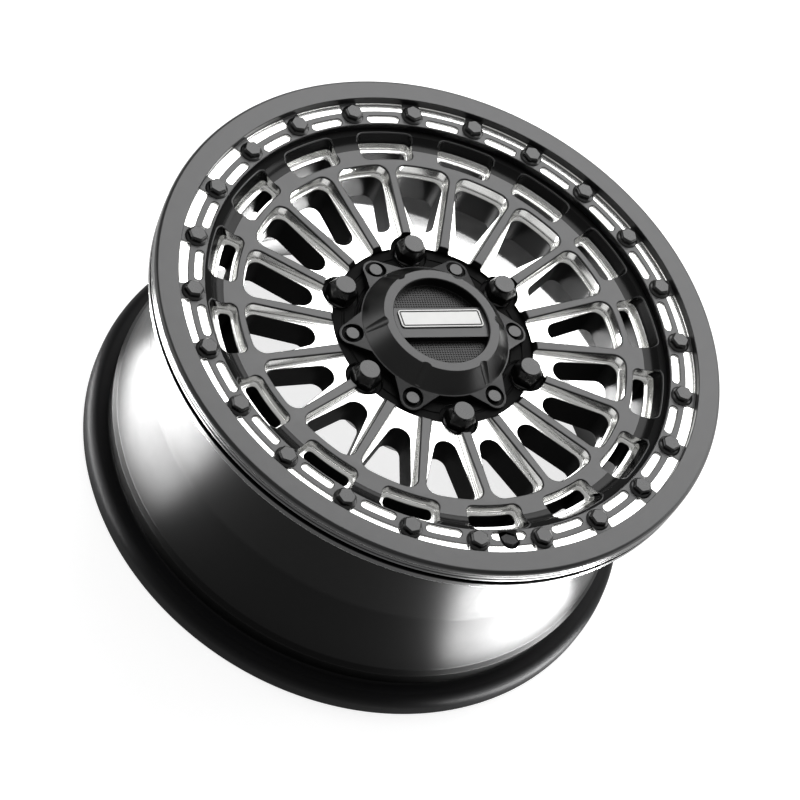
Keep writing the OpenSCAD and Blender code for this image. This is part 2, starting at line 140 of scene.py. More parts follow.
def add(
    tree: bpy.types.NodeTree, kind: str, inputs: dict | None = None, **settings: object
) -> bpy.types.Node:
    """Adds one node with its settings and links.

    Args:
        tree: The node tree.
        kind: The node's type name.
        inputs: Values or output sockets by input name or number.
        settings: Attributes of the node.

    Returns:
        The new node.
    """
    node = tree.nodes.new(kind)
    for name, value in settings.items():
        setattr(node, name, value)
    for key, value in (inputs or {}).items():
        if isinstance(value, bpy.types.NodeSocket):
            tree.links.new(value, node.inputs[key])
        else:
            node.inputs[key].default_value = value
    return node


class Sums:
    """A node tree in the making, with the sums that finishes and layouts share."""

    tree: bpy.types.NodeTree

    def sum(self, operation: str, *values: object) -> bpy.types.NodeSocket:
        """Returns the result of one Math node on the given values."""
        return add(self.tree, "ShaderNodeMath", dict(enumerate(values)), operation=operation).outputs[0]


class Recipe(Sums):
    """A material's node tree in the making, with the patterns that the wheel's finishes share."""

    def __init__(self, name: str) -> None:
        """Starts an empty material.

        Args:
            name: The material's name.
        """
        self.material = bpy.data.materials.new(name)
        self.material.use_nodes = True
        self.tree = self.material.node_tree
        self.tree.nodes.clear()
        self.place = add(self.tree, "ShaderNodeTexCoord").outputs["Object"]
        axes = add(self.tree, "ShaderNodeSeparateXYZ", {0: self.place}).outputs
        flat = add(self.tree, "ShaderNodeCombineXYZ", {0: axes[0], 1: axes[1]}).outputs[0]
        away = add(self.tree, "ShaderNodeVectorMath", {0: flat}, operation="LENGTH")
        self.r = away.outputs["Value"]
        normal = add(self.tree, "ShaderNodeNewGeometry").outputs["Normal"]
        self.up = add(self.tree, "ShaderNodeSeparateXYZ", {0: normal}).outputs[2]

    def ramp(self, value: object, low: float, high: float) -> bpy.types.NodeSocket:
        """Turns a value to a smooth step.

        Args:
            value: The value.
            low: Where the step starts, at 0.
            high: Where it ends, at 1.

        Returns:
            The step's height.
        """
        inputs = {0: value, 1: low, 2: high, 3: 0.0, 4: 1.0}
        settings = {"interpolation_type": "SMOOTHSTEP", "clamp": True}
        return add(self.tree, "ShaderNodeMapRange", inputs, **settings).outputs[0]

    def mix(self, share: object, a: object, b: object) -> bpy.types.NodeSocket:
        """Returns colour a turning to colour b by share."""
        return add(self.tree, "ShaderNodeMix", {0: share, 6: a, 7: b}, data_type="RGBA").outputs[2]

    def about(self, value: float, spread: float, size_mm: float) -> bpy.types.NodeSocket:
        """Returns a number that drifts round a value by up to the spread, in patches size_mm across."""
        drift = self.sum("SUBTRACT", self.noise(size_mm, 2), 0.5)
        return self.sum("ADD", self.sum("MULTIPLY", drift, 2 * spread), value)

    def noise(self, size_mm: float, detail: float) -> bpy.types.NodeSocket:
        """Returns noise whose grains are about size_mm across."""
        inputs = {"Vector": self.place, "Scale": 1000 / size_mm, "Detail": detail}
        return add(self.tree, "ShaderNodeTexNoise", inputs).outputs["Fac"]

    def rounded(self, radius_mm: float) -> bpy.types.NodeSocket:
        """Returns the surface normal with its edges rounded to a radius."""
        return add(self.tree, "ShaderNodeBevel", {"Radius": radius_mm * MM}, samples=6).outputs[0]

    def bump(self, height: object, depth_mm: float, normal: object = None) -> bpy.types.NodeSocket:
        """Turns a height to a normal.

        Args:
            height: The height, from 0 to 1.
            depth_mm: How deep 0 lies under 1.
            normal: The normal that it bends, in place of the mesh's own.

        Returns:
            The normal.
        """
        inputs = {"Height": height, "Distance": depth_mm * MM}
        if normal is not None:
            inputs["Normal"] = normal
        return add(self.tree, "ShaderNodeBump", inputs).outputs[0]

    def finish(self, **values: object) -> bpy.types.Material:
        """Ends the tree in a Principled shader.

        Args:
            values: Its inputs, with underscores for spaces.

        Returns:
            The material.
        """
        inputs = {name.replace("_", " "): value for name, value in values.items()}
        shader = add(self.tree, "ShaderNodeBsdfPrincipled", inputs)
        add(self.tree, "ShaderNodeOutputMaterial", {"Surface": shader.outputs[0]})
        return self.material


# Finishes


@dataclass(frozen=True)
class SatinPaint:
    """Black satin paint with painted light: faces that look up take a graphite colour for the lamp's
    reflection, and walls stay black.
    """

    name: str
    # flat is painted light: the colour of faces that look up, standing in for the lamp's reflection; wall is
    # the colour of the rest.
    flat: str = "#2a2a2b"
    wall: str = "#0b0b0c"
    roughness: float = 0.33
    shine: float = 0.5
    grain_mm: float = 1.8  # orange peel, drawn coarser than the real 0.5 mm so that it shows
    peel_mm: float = 0.012
    edge_mm: float = 0.0
    painted_light_from: float = 0.955  # upward share of the normal at which a face starts to take the painted lamp reflection
    painted_light_to: float = 0.995
    cloud_mm: float = 30.0  # size of the patches where the coat lies thicker
    sheen_mm: float = 7.0  # size of the duller and glossier patches

    def material(self) -> bpy.types.Material:
        """Returns the paint, painted greyer on faces that look up, where it stands in for the lamp's
        reflection.
        """
        recipe = Recipe(self.name)
        shade = recipe.about(0.95, 0.07, self.cloud_mm)
        # Painted highlight: how far a face looks up decides how much of the lit flat colour it takes.
        level = recipe.ramp(recipe.up, self.painted_light_from, self.painted_light_to)
        colour = recipe.mix(recipe.sum("MULTIPLY", level, shade), linear(self.wall), linear(self.flat))
        edge = recipe.rounded(self.edge_mm) if self.edge_mm else None
        return recipe.finish(
            Base_Color=colour,
            Roughness=recipe.about(self.roughness, 0.04, self.sheen_mm),
            Specular_IOR_Level=self.shine,
            Normal=recipe.bump(recipe.noise(self.grain_mm, 1), self.peel_mm, edge),
        )


@dataclass(frozen=True)
class MilledAluminium:
    """Bare aluminium cut by an end mill under clear lacquer: bright, with fine arcs of tool marks."""

    name: str = "milled_aluminium"
    colour: str = "#f6f6f4"
    drift: str = "#e9e9e7"
    roughness: float = 0.22
    metallic: float = 0.95  # the lacquer over it scatters a share of the light
    pitch_mm: float = 1.2  # tool marks, drawn coarser than the real 0.2 mm so that they show
    mark_mm: float = 0.004
    tint_mm: float = 9.0  # size of the lighter and darker patches
    sheen_mm: float = 5.0

    def material(self) -> bpy.types.Material:
        """Returns the milled metal."""
        recipe = Recipe(self.name)
        marks = recipe.sum("SINE", recipe.sum("MULTIPLY", recipe.r, TURN / (self.pitch_mm * MM)))
        return recipe.finish(
            Base_Color=recipe.mix(recipe.noise(self.tint_mm, 3), linear(self.drift), linear(self.colour)),
            Metallic=self.metallic,
            Roughness=recipe.about(self.roughness, 0.05, self.sheen_mm),
            Normal=recipe.bump(marks, self.mark_mm),
        )


# In every paint below, the flat colour is painted light on faces that look up, for the lamp's reflection.
# Powder coat on the face and the ring: black walls, with graphite painted on the flats for the lamp's
# reflection.
PAINT = SatinPaint("satin_black_powder_coat")
# The barrel's outside: the same coat left dull, with two wide soft highlights.
BARREL = SatinPaint(
    "barrel_black_powder_coat", flat="#0d0d0e", wall="#080808", roughness=0.4, shine=0.06
)
# Zinc-plated bolts, nuts and screws: fine-grained and a little glossier than the paint.
ZINC = SatinPaint(
    "black_zinc_steel", flat="#1f1f20", wall="#060606", roughness=0.28, grain_mm=0.9, peel_mm=0.008
)
# Moulded cap: satin plastic whose edges catch a soft line of light.
CAP = SatinPaint(
    "cap_satin_abs", flat="#2a2a2b", wall="#070707", roughness=0.3, shine=0.42, edge_mm=0.7
)
# Plated valve: a shade lighter than what stands round it.
VALVE = SatinPaint(
    "valve_black_nickel", flat="#3a3a3b", wall="#262627", roughness=0.26, grain_mm=0.9, peel_mm=0.004,
    edge_mm=0.3,
)
# The valve's seal: dull rubber with hardly a highlight.
RUBBER = SatinPaint(
    "valve_epdm_rubber", flat="#101010", wall="#0c0c0c", roughness=0.6, shine=0.3, edge_mm=0.3
)
# The cap's embossed floor: dark squares that show by their lit edges.
WEAVE = SatinPaint(
    "cap_floor_embossed_abs", flat="#0c0c0c", wall="#050505", roughness=0.36, shine=0.35, grain_mm=0.7
)
# Painted shade in the openings, the wells and under the cap: flat black with hardly a highlight, darker than
# the paint.
SHADE_BLACK = SatinPaint("recess_painted_shade", flat="#080808", wall="#040404", roughness=0.6, shine=0.06)
# The barrel's inside, seen through the windows: deep black with short highlights.
INSIDE = SatinPaint(
    "inner_barrel_gloss_black", flat="#060606", wall="#050505", roughness=0.2, shine=0.1
)
# The hollow between the ring and the spoke face: painted shade, the deepest black of the wheel.
HOLLOW_SHADE = SatinPaint(
    "hollow_painted_shade", flat="#050505", wall="#040404", roughness=0.22, shine=0.15
)
# The inboard flange: dull black, painted grey where it looks up for the lamp's reflection.
FLANGE = SatinPaint(
    "flange_black_powder_coat", flat="#141415", wall="#0a0a0b", roughness=0.5, shine=0.08
)
MILLED = MilledAluminium()
# The plate on the cap's bar: brushed silver film, light and without mirror shine.
PLATE = MilledAluminium(
    "plate_satin_silver", "#bebebd", "#b2b2b1", roughness=0.42, metallic=0.2, pitch_mm=0.8
)


# Outlines and meshes, in millimetres


def polar(r: float, angle: float) -> Flat:
    """Returns the point at radius r and an angle in radians."""
    return r * math.cos(angle), r * math.sin(angle)


def disc(r: float, count: int = ROUND) -> Plan:
    """Returns a circle's points."""
    return [polar(r, TURN * k / count) for k in range(count)]


def arc(centre: Flat, r: float, start: float, end: float, steps: int) -> Plan:
    """Returns steps + 1 points on an arc from the start angle to the end angle, in radians."""
    angles = [start + (end - start) * i / steps for i in range(steps + 1)]
    return [(centre[0] + r * math.cos(a), centre[1] + r * math.sin(a)) for a in angles]


def eased(corners: list[Point], steps: int = 5) -> Plan:
    """Rounds the corners of a closed outline.

    Args:
        corners: Corner points, each with its rounding radius.
        steps: Steps on each rounding.

    Returns:
        The outline's points.
    """
    points: Plan = []
    for i, (x, y, radius) in enumerate(corners):
        here = Vector((x, y))
        before = (Vector(corners[i - 1][:2]) - here).normalized()
        after = (Vector(corners[(i + 1) % len(corners)][:2]) - here).normalized()
        half = before.angle(after) / 2
        if radius <= 0 or half > NO_CORNER:
            points.append((x, y))
            continue
        cut = radius / math.tan(half)
        middle = here + (before + after).normalized() * (radius / math.sin(half))
        first, last = here + before * cut - middle, here + after * cut - middle
        start, sweep = math.atan2(first.y, first.x), first.angle_signed(last)
        points += arc((middle.x, middle.y), radius, start, start - sweep, steps)
    return points


def solid(loops: list[Loop], bands: list[Surface], closed: bool = False) -> bpy.types.Mesh:
    """Builds a closed mesh through loops of equal length.

    Args:
        loops: The loops, one after another along the solid.
        bands: The finish of each band between two loops, then of the two end faces.
        closed: Joins the last loop to the first in place of end faces.

    Returns:
        The mesh, in metres, with its faces outwards.
    """
    work = bmesh.new()
    rows = [[work.verts.new((x * MM, y * MM, z * MM)) for x, y, z in loop] for loop in loops]
    count = len(rows[0])
    pairs = list(zip(rows, rows[1:] + rows[:1])) if closed else list(zip(rows, rows[1:]))
    for k, (a, b) in enumerate(pairs):
        for i in range(count):
            j = (i + 1) % count
            work.faces.new((a[i], a[j], b[j], b[i])).material_index = bands[k].value
    if not closed:
        work.faces.new(rows[0]).material_index = bands[-2].value
        work.faces.new(rows[-1]).material_index = bands[-1].value
    bmesh.ops.recalc_face_normals(work, faces=work.faces)
    mesh = bpy.data.meshes.new("solid")
    work.to_mesh(mesh)
    work.free()
    return mesh


def revolved(profile: Plan, steps: int, tone: Callable[[float, float], Surface]) -> bpy.types.Mesh:
    """Turns a closed (radius, height) outline round Z.

    Args:
        profile: The outline.
        steps: Steps round the axis.
        tone: Gives the finish at a radius and a height.

    Returns:
        The mesh.
    """
    loops = [[(x, y, z) for x, y in disc(r, steps)] for r, z in profile]
    ends = profile[1:] + profile[:1]
    bands = [tone((a[0] + b[0]) / 2, (a[1] + b[1]) / 2) for a, b in zip(profile, ends)]
    return solid(loops, bands, closed=True)


def joined(parts: Placed) -> bpy.types.Mesh:
    """Joins meshes.

    Args:
        parts: Each mesh with its place.

    Returns:
        One new mesh.
    """
    work = bmesh.new()
    for mesh, matrix in parts:
        copy = mesh.copy()
        copy.transform(matrix)
        work.from_mesh(copy)
        bpy.data.meshes.remove(copy)
    mesh = bpy.data.meshes.new("joined")
    work.to_mesh(mesh)
    work.free()
    return mesh


def around(mesh: bpy.types.Mesh, count: int, phase_deg: float = 0.0) -> Placed:
    """Returns count places of a mesh round the wheel's axis, the first at the phase."""
    turns = [math.radians(phase_deg) + TURN * k / count for k in range(count)]
    return [(mesh, Matrix.Rotation(turn, 4, "Z")) for turn in turns]


def evaluated(piece: bpy.types.Object) -> bpy.types.Mesh:
    """Applies a piece's modifiers.

    Args:
        piece: The piece, which stays as it is.

    Returns:
        A new plain mesh.
    """
    bpy.context.view_layer.update()
    graph = bpy.context.evaluated_depsgraph_get()
    shown = piece.evaluated_get(graph)
    return bpy.data.meshes.new_from_object(shown, preserve_all_data_layers=True, depsgraph=graph)


def object_of(name: str, mesh: bpy.types.Mesh) -> bpy.types.Object:
    """Puts a mesh in the scene, at the origin.

    Args:
        name: The object's name.
        mesh: Its mesh.

    Returns:
        The new object.
    """
    piece = bpy.data.objects.new(name, mesh)
    bpy.context.scene.collection.objects.link(piece)
    return piece


def in_finishes(mesh: bpy.types.Mesh, finishes: list[bpy.types.Material]) -> bpy.types.Mesh:
    """Gives a mesh its materials and keeps which face takes which.

    Args:
        mesh: The mesh.
        finishes: Its materials, in the order of Surface.

    Returns:
        The same mesh.
    """
    which = [face.material_index for face in mesh.polygons]
    mesh.materials.clear()
    for finish in finishes:
        mesh.materials.append(finish)
    mesh.polygons.foreach_set("material_index", which)
    return mesh


def carved(
    mesh: bpy.types.Mesh, cutters: Placed, finishes: list[bpy.types.Material]
) -> bpy.types.Mesh:
    """Takes cutters away from a mesh.

    Args:
        mesh: The mesh.
        cutters: The cutters and their places; they don't touch one another.
        finishes: The materials of both, in the order of Surface.

    Returns:
        A new mesh.
    """
    body = object_of("carved", in_finishes(mesh, finishes))
    tool = object_of("cutter", in_finishes(joined(cutters), finishes))
    cut = body.modifiers.new("cut", "BOOLEAN")
    cut.operation, cut.solver, cut.object = "DIFFERENCE", "MANIFOLD", tool
    result = evaluated(body)
    bpy.data.objects.remove(body)
    bpy.data.objects.remove(tool)
    return result


def placed(
    name: str,
    mesh: bpy.types.Mesh,
    finishes: list[bpy.types.Material],
    nodes: list[str],
    slot: str,
    smooth_deg: float = 32.0,
) -> bpy.types.Object:
    """Puts a finished mesh in the scene as a piece of the wheel.

    Args:
        name: The piece's name.
        mesh: Its mesh, in metres.
        finishes: Its materials, in the order of Surface.
        nodes: The CAD nodes that it stands for.
        slot: The material slot of the record that it belongs to; not used.
        smooth_deg: Edges that turn more than this stay sharp.

    Returns:
        The piece.
    """
    mesh.name = name
    in_finishes(mesh, finishes)
    work = bmesh.new()
    work.from_mesh(mesh)
    bmesh.ops.remove_doubles(work, verts=work.verts, dist=WELD)
    bmesh.ops.dissolve_degenerate(work, edges=work.edges, dist=SLIVER)
    work.to_mesh(mesh)
    work.free()
    mesh.shade_smooth()
    mesh.set_sharp_from_angle(angle=math.radians(smooth_deg))
    piece = object_of(name, mesh)
    weigh = piece.modifiers.new("weighted", "WEIGHTED_NORMAL")
    weigh.keep_sharp = True
    piece.data = evaluated(piece)
    piece.data.name = name
    piece.modifiers.clear()
    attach(piece, "root")
    if nodes:
        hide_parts(*nodes)
    LOG.info("%s: %d faces, stands for %d nodes", name, len(piece.data.polygons), len(nodes))
    return piece


class Layout(Sums):
    """A Geometry Nodes tree in the making that sets copies of a small mesh on points."""

    def __init__(self, name: str, sizes: dict[str, tuple[str, object]]) -> None:
        """Starts a tree with named inputs.

        Args:
            name: The tree's name.
            sizes: Each input's socket type and value by its name; one of them is the Finish.
        """
        self.sizes = sizes
        self.tree = bpy.data.node_groups.new(name, "GeometryNodeTree")
        face = self.tree.interface
        face.new_socket("Geometry", in_out="INPUT", socket_type="NodeSocketGeometry")
        self.keys = {
            size: face.new_socket(size, in_out="INPUT", socket_type=kind).identifier
            for size, (kind, _) in sizes.items()
        }
        face.new_socket("Geometry", in_out="OUTPUT", socket_type="NodeSocketGeometry")
        self.given = add(self.tree, "NodeGroupInput").outputs

    def run(self, mesh: bpy.types.Mesh, copies: dict[str, bpy.types.NodeSocket]) -> bpy.types.Mesh:
        """Ends the tree, applies it to a mesh and clears up.

        Args:
            mesh: What is copied.
            copies: The points and, where the copies turn, their rotation.

        Returns:
            The plain mesh of all the copies.
        """
        inputs = {**copies, "Instance": self.given["Geometry"]}
        spread = add(self.tree, "GeometryNodeInstanceOnPoints", inputs).outputs[0]
        real = add(self.tree, "GeometryNodeRealizeInstances", {0: spread}).outputs[0]
        inputs = {"Geometry": real, "Material": self.given["Finish"]}
        dressed = add(self.tree, "GeometryNodeSetMaterial", inputs).outputs[0]
        add(self.tree, "NodeGroupOutput", {0: dressed})
        piece = object_of("copied", mesh)
        nodes = piece.modifiers.new("layout", "NODES")
        nodes.node_group = self.tree
        for size, key in self.keys.items():
            nodes[key] = self.sizes[size][1]
        result = evaluated(piece)
        bpy.data.objects.remove(piece)
        return result


# Milled cuts


@dataclass(frozen=True)
class Cut:
    """How a pocket is milled: eased at the face, with a hollow corner round its floor."""

    lip: float
    hollow: float
    floor_z: float
    clear: float = 4.0  # how far the cutter stands out over the face
    steps: int = 4  # on the lip's and the hollow's rounding
    rows: int = 1  # of faces up the wall

    def mesh(
        self,
        outline: Outline,
        face: Callable[[float], float],
        inner: Surface = Surface.MILLED,
    ) -> bpy.types.Mesh:
        """Builds the solid that the cutter takes away.

        Args:
            outline: Gives the cut's plan at an outward offset and at a share of its depth.
            face: Gives the height of the surface at a radius.
            inner: Finish of the walls and the floor.

        Returns:
            The mesh.
        """
        loops = [[(x, y, face(math.hypot(x, y)) + self.clear) for x, y in outline(self.lip, 0.0)]]
        for k in range(self.steps + 1):
            turn = math.pi / 2 * k / self.steps
            drop = self.lip * (1 - math.cos(turn))
            plan = outline(self.lip * (1 - math.sin(turn)), 0.0)
            loops.append([(x, y, face(math.hypot(x, y)) - drop) for x, y in plan])
        bands = [Surface.PAINT] * (len(loops) - 1)
        for row in range(1, self.rows):
            share = row / self.rows
            low = self.floor_z + self.hollow
            plan = outline(0.0, share)
            tops = [face(math.hypot(x, y)) - self.lip for x, y in plan]
            loops.append([(x, y, top * (1 - share) + low * share) for (x, y), top in zip(plan, tops)])
            bands.append(inner)
        for k in range(self.steps + 1):
            turn = math.pi / 2 * k / self.steps
            plan = outline(-self.hollow * (1 - math.cos(turn)), 1.0)
            loops.append([(x, y, self.floor_z + self.hollow * (1 - math.sin(turn))) for x, y in plan])
            bands.append(inner)
        return solid(loops, bands + [Surface.PAINT, inner])


def straight_cut(plan: Plan, low: float, high: float, surface: Surface) -> bpy.types.Mesh:
    """Returns the solid of a plain cut with one plan, from one height to another."""
    return solid([[(x, y, high) for x, y in plan], [(x, y, low) for x, y in plan]], [surface] * 3)


def sector(r0: float, r1: float, half: float, corner: float, steps: int = 5) -> Plan:
    """Returns a ring sector about +X with rounded corners.

    Args:
        r0: Inner radius.
        r1: Outer radius.
        half: Half of its angle, in radians.
        corner: Radius of its corners.
        steps: Steps on a corner.

    Returns:
        The outline, counterclockwise.
    """
    near, far = r0 + corner, r1 - corner
    a_near = half - math.asin(corner / near)
    a_far = half - math.asin(corner / far)
    quarter = math.pi / 2
    span = 6  # steps on each arc between corners
    points = arc((0, 0), r1, -a_far, a_far, span)[1:-1]
    points += arc(polar(far, a_far), corner, a_far, half + quarter, steps)
    points += arc(polar(near, a_near), corner, half + quarter, a_near + math.pi, steps)
    points += arc((0, 0), r0, a_near, -a_near, span)[1:-1]
    points += arc(polar(near, -a_near), corner, math.pi - a_near, 3 * quarter - half, steps)
    points += arc(polar(far, -a_far), corner, -quarter - half, -a_far, steps)
    return points


# The casting


@dataclass
class WheelBody:
    """The casting: barrel, flanges, spoke disc, windows, pockets, hub and lug wells."""

    bead_seat_r: float = 190.1
    flange_r: float = 205.2
    drop_r: float = 180.5
    barrel_in_r: float = 174.5
    land_r: float = 192.0
    land_z: float = 185.0
    clamp_r: float = 204.6
    clamp_z: float = 181.5
    face_z: float = 181.0
    face_hub_z: float = 175.1
    barrel_z: Flat = (19.0, 175.5)
    barrel_in_z: float = 137.0
    rim_line_z: Flat = (176.35, 177.3)
    tab_end_r: float = 153.5
    rise_r: float = 14.0
    pad_r: float = 73.6
    pad_z: float = 169.0
    back_z: float = 150.0
    hub_face_z: float = 134.0
    bore_r: float = 53.5
    cap_bore_r: float = 50.5
    seat_in_r: float = 182.1
    spokes: int = 18
    spoke_half_hub: float = 3.8
    spoke_half_rim: float = 2.9
    window_r: float = 139.4
    window_hub_r: float = 71.0
    window_corner: float = 8.0
    ledge_z: float = 171.0
    opening_r: float = 136.4
    opening_hub_x: float = 96.8
    opening_end: float = 8.0
    opening_corner: float = 7.0
    opening_half_deg: float = 8.1
    pockets: int = 16
    pocket_in_r: float = 144.8
    pocket_out_r: float = 165.2
    pocket_floor_r: float = 159.7
    pocket_mid_r: float = 152.0
    pocket_half_deg: float = 7.6
    pocket_corner: float = 5.0
    pocket_floor_z: float = 173.0
    slot_in_r: float = 148.0
    slot_out_r: float = 156.0
    slot_half_deg: float = 6.3
    slot_corner: float = 3.0
    shaded_wall_r: float = 158.0
    shaded_wall_z: float = 178.0
    lugs: int = 6
    lug_circle_r: float = 69.85
    screw_circle_r: float = 61.4
    screw_hole_r: float = 3.0
    bolts: int = 24
    bolt_circle_r: float = 177.8
    bolt_hole_r: float = 4.0
    valve_r: float = 181.4
    valve_z: float = 176.2
    valve_lean_deg: float = -24.0
    valve_seat_r: float = 9.4
    valve_hole_r: float = 5.65
    steps: int = 300

    def face(self, r: float) -> float:
        """Gives the street-side surface.

        Args:
            r: The radius.

        Returns:
            Its height at that radius.
        """
        if r < self.window_r:
            share = (r - self.pad_r - 2) / (self.window_r - self.pad_r - 2)
            return self.face_hub_z + share * (self.face_z - self.face_hub_z)
        if r < self.tab_end_r:
            return self.face_z
        rise = self.rise_r**2 - (r - self.tab_end_r) ** 2
        height = self.face_z + self.rise_r - math.sqrt(max(rise, 0.0))
        return min(height, self.land_z)

    def profile(self) -> Plan:
        """Returns the casting's half section; each corner is a radius, a height and its easing."""
        seat, drop, inner, bore = self.bead_seat_r, self.drop_r, self.barrel_in_r, self.cap_bore_r
        climb = math.asin((self.rise_r - self.land_z + self.face_z) / self.rise_r)
        rise = arc((self.tab_end_r, self.face_z + self.rise_r), self.rise_r, -climb, -math.pi / 2, 8)
        outer = [
            (self.flange_r - 9.6, 1.5, 0.5), (self.flange_r - 9, 0, 0.8), (self.flange_r, 0, 2.0),
            (self.flange_r, 18, 8.9), (seat, 18, 2.0), (seat, 29.5, 1.5), (seat + 1.5, 31, 0.6),
            (seat + 1.5, 32, 0.8), (seat - 1, 36, 3.0), (drop + 0.3, 92, 30.0), (drop, 160, 12.0),
            (seat - 2, 171, 5.0), (self.land_r, 175, 1.5), (self.clamp_r - 0.9, 176.4, 0.2),
            (self.clamp_r, 177.2, 0.2), (self.clamp_r, self.clamp_z, 0.8), (self.land_r, self.clamp_z, 0.6),
            (self.land_r, self.land_z, 0.3), (rise[0][0], self.land_z, 0.6),
        ]
        inside = [
            (self.window_r, self.face_z, 0), (self.pad_r + 2, self.face_hub_z, 0.9), (self.pad_r, 172.1, 0.4),
            (self.pad_r, self.pad_z, 0.5), (66.4, self.pad_z, 0.3), (65.9, 168.4, 0.2), (64.7, 168.4, 0.2),
            (64.2, self.pad_z, 0.3), (57.4, self.pad_z, 0.2), (57.0, 168.4, 0.2), (55.8, 168.4, 0.2),
            (55.4, self.pad_z, 0.2), (bore, self.pad_z, 0.5), (bore, 156, 0.3), (self.bore_r, 156, 0.3),
            (self.bore_r, self.hub_face_z, 1.0), (79, self.hub_face_z, 1.5), (87, 149, 4.0),
            (self.window_r, self.back_z, 3.0), (inner - 10, 148, 4.0), (inner, 138, 8.0), (inner, 90, 20.0),
            (self.seat_in_r, 37, 8.0), (self.seat_in_r, 14, 3.0),
        ]
        corners = outer + [(r, z, 0.0) for r, z in rise[1:]] + inside
        return eased(corners)

    def tone(self, r: float, z: float) -> Surface:
        """Gives the finish of the turned casting.

        Args:
            r: The radius.
            z: The height.

        Returns:
            The finish there.
        """
        if self.rim_line_z[0] < z < self.rim_line_z[1] and r > self.clamp_r - 1.2:
            return Surface.MILLED
        if self.drop_r - 1 < r and self.barrel_z[0] < z < self.barrel_z[1]:
            return Surface.BARREL
        if self.barrel_in_r - 0.5 < r < self.seat_in_r + 1 and z < self.barrel_in_z:
            return Surface.INSIDE
        if r > self.bead_seat_r and z < self.barrel_z[0]:
            return Surface.FLANGE
        # Painted shade on the hollow between the spoke face and the ring.
        if r > self.tab_end_r and self.face_z < z < self.land_z - 0.1:
            return Surface.HOLLOW_SHADE
        # Painted shade on the hub round the cap and on the land under the ring.
        return Surface.SHADE_BLACK if r < self.pad_r + 1 or z > self.land_z - 0.1 else Surface.PAINT

    def beside_spoke(self, r: float, off: float) -> Vector:
        """Finds a point beside the spoke that borders the window about +X.

        Args:
            r: How far out it lies along the spoke's middle line.
            off: How far it lies off that line.

        Returns:
            The point.
        """
        half = math.pi / self.spokes
        x = r * math.cos(half) + off * math.sin(half)
        return Vector((x, r * math.sin(half) - off * math.cos(half)))

    def window(self, offset: float, depth: float) -> Plan:
        """Draws a window about +X.

        Args:
            offset: How far outside the nominal plan, in millimetres.
            depth: Share of the cut's depth; not used, because the walls are upright.

        Returns:
            Its plan.
        """
        corner = self.window_corner + offset
        hub = self.beside_spoke(self.window_hub_r, self.spoke_half_hub)
        rim = self.beside_spoke(self.window_r, self.spoke_half_rim)
        way = (rim - hub).normalized()
        out = Vector((-way.y, way.x))
        hub += out * offset
        near = hub - out * corner
        along = near.dot(way)
        reach = self.window_r + offset - corner
        centre = near + way * (-along + math.sqrt(along**2 - near.dot(near) + reach**2))
        phi, start = math.atan2(centre.y, centre.x), math.atan2(out.y, out.x)
        side = [(hub.x, hub.y)] + arc((centre.x, centre.y), corner, start, phi, 7)
        side += arc((0, 0), self.window_r + offset, phi, 0, 4)[1:]
        return [(x, -y) for x, y in side[:-1]] + side[::-1]

    def opening(self, offset: float, depth: float) -> Plan:
        """Draws the opening through a window's floor.

        Args:
            offset: How far outside the nominal plan, in millimetres.
            depth: Share of the cut's depth; not used, because the walls are upright.

        Returns:
            Its plan.
        """
        reach, corner = self.opening_r + offset, self.opening_corner + offset
        hub = Vector((self.opening_hub_x, self.opening_end))
        rim = Vector(polar(self.opening_r, math.radians(self.opening_half_deg)))
        way = (rim - hub).normalized()
        out = Vector((-way.y, way.x))
        near = hub + out * (offset - corner)
        along = near.dot(way)
        centre = near + way * (-along + math.sqrt(along**2 - near.dot(near) + (reach - corner) ** 2))
        phi, start = math.atan2(centre.y, centre.x), math.atan2(out.y, out.x)
        side = arc((self.opening_hub_x, 0), self.opening_end + offset, math.pi, start, 9)
        side += arc((centre.x, centre.y), corner, start, phi, 6)
        side += arc((0, 0), reach, phi, 0, 4)[1:]
        return [(x, -y) for x, y in side[1:-1]] + side[::-1]

    def pocket(self, offset: float, depth: float) -> Plan:
        """Draws a rim pocket, whose outer wall leans out towards the face.

        Args:
            offset: How far outside the nominal plan, in millimetres.
            depth: Share of the cut's depth.

        Returns:
            Its plan.
        """
        outer = self.pocket_out_r + (self.pocket_floor_r - self.pocket_out_r) * depth
        half = math.radians(self.pocket_half_deg) + offset / self.pocket_mid_r
        corner = self.pocket_corner - depth + offset
        return sector(self.pocket_in_r - offset, outer + offset, half, corner)

    def slot(self, offset: float, depth: float) -> Plan:
        """Draws the slot through a pocket's floor.

        Args:
            offset: How far outside the nominal plan, in millimetres.
            depth: Share of the cut's depth; not used, because the walls are upright.

        Returns:
            Its plan.
        """
        half = math.radians(self.slot_half_deg) + offset / self.pocket_mid_r
        return sector(self.slot_in_r - offset, self.slot_out_r + offset, half, self.slot_corner + offset)

    def lug_well(self) -> bpy.types.Mesh:
        """Returns the cut of a lug nut's well, its cone seat and its stud hole, from the top down."""
        # Painted shade on the well's walls and the stud hole; the cone seat and a narrow band of wall stay
        # milled.
        stops = [
            (13.95, 184, Surface.SHADE_BLACK), (13.95, 169.3, Surface.SHADE_BLACK), (13.7, 168.6, Surface.MILLED),
            (13.7, 167.3, Surface.SHADE_BLACK), (13.1, 166.7, Surface.SHADE_BLACK), (10.6, 166.7, Surface.MILLED),
            (7.5, 162.3, Surface.SHADE_BLACK), (7.5, 120, Surface.SHADE_BLACK),
        ]
        loops = [[(self.lug_circle_r + x, y, z) for x, y in disc(r, 64)] for r, z, _ in stops]
        return solid(loops, [tone for _, _, tone in stops] + [Surface.PAINT])

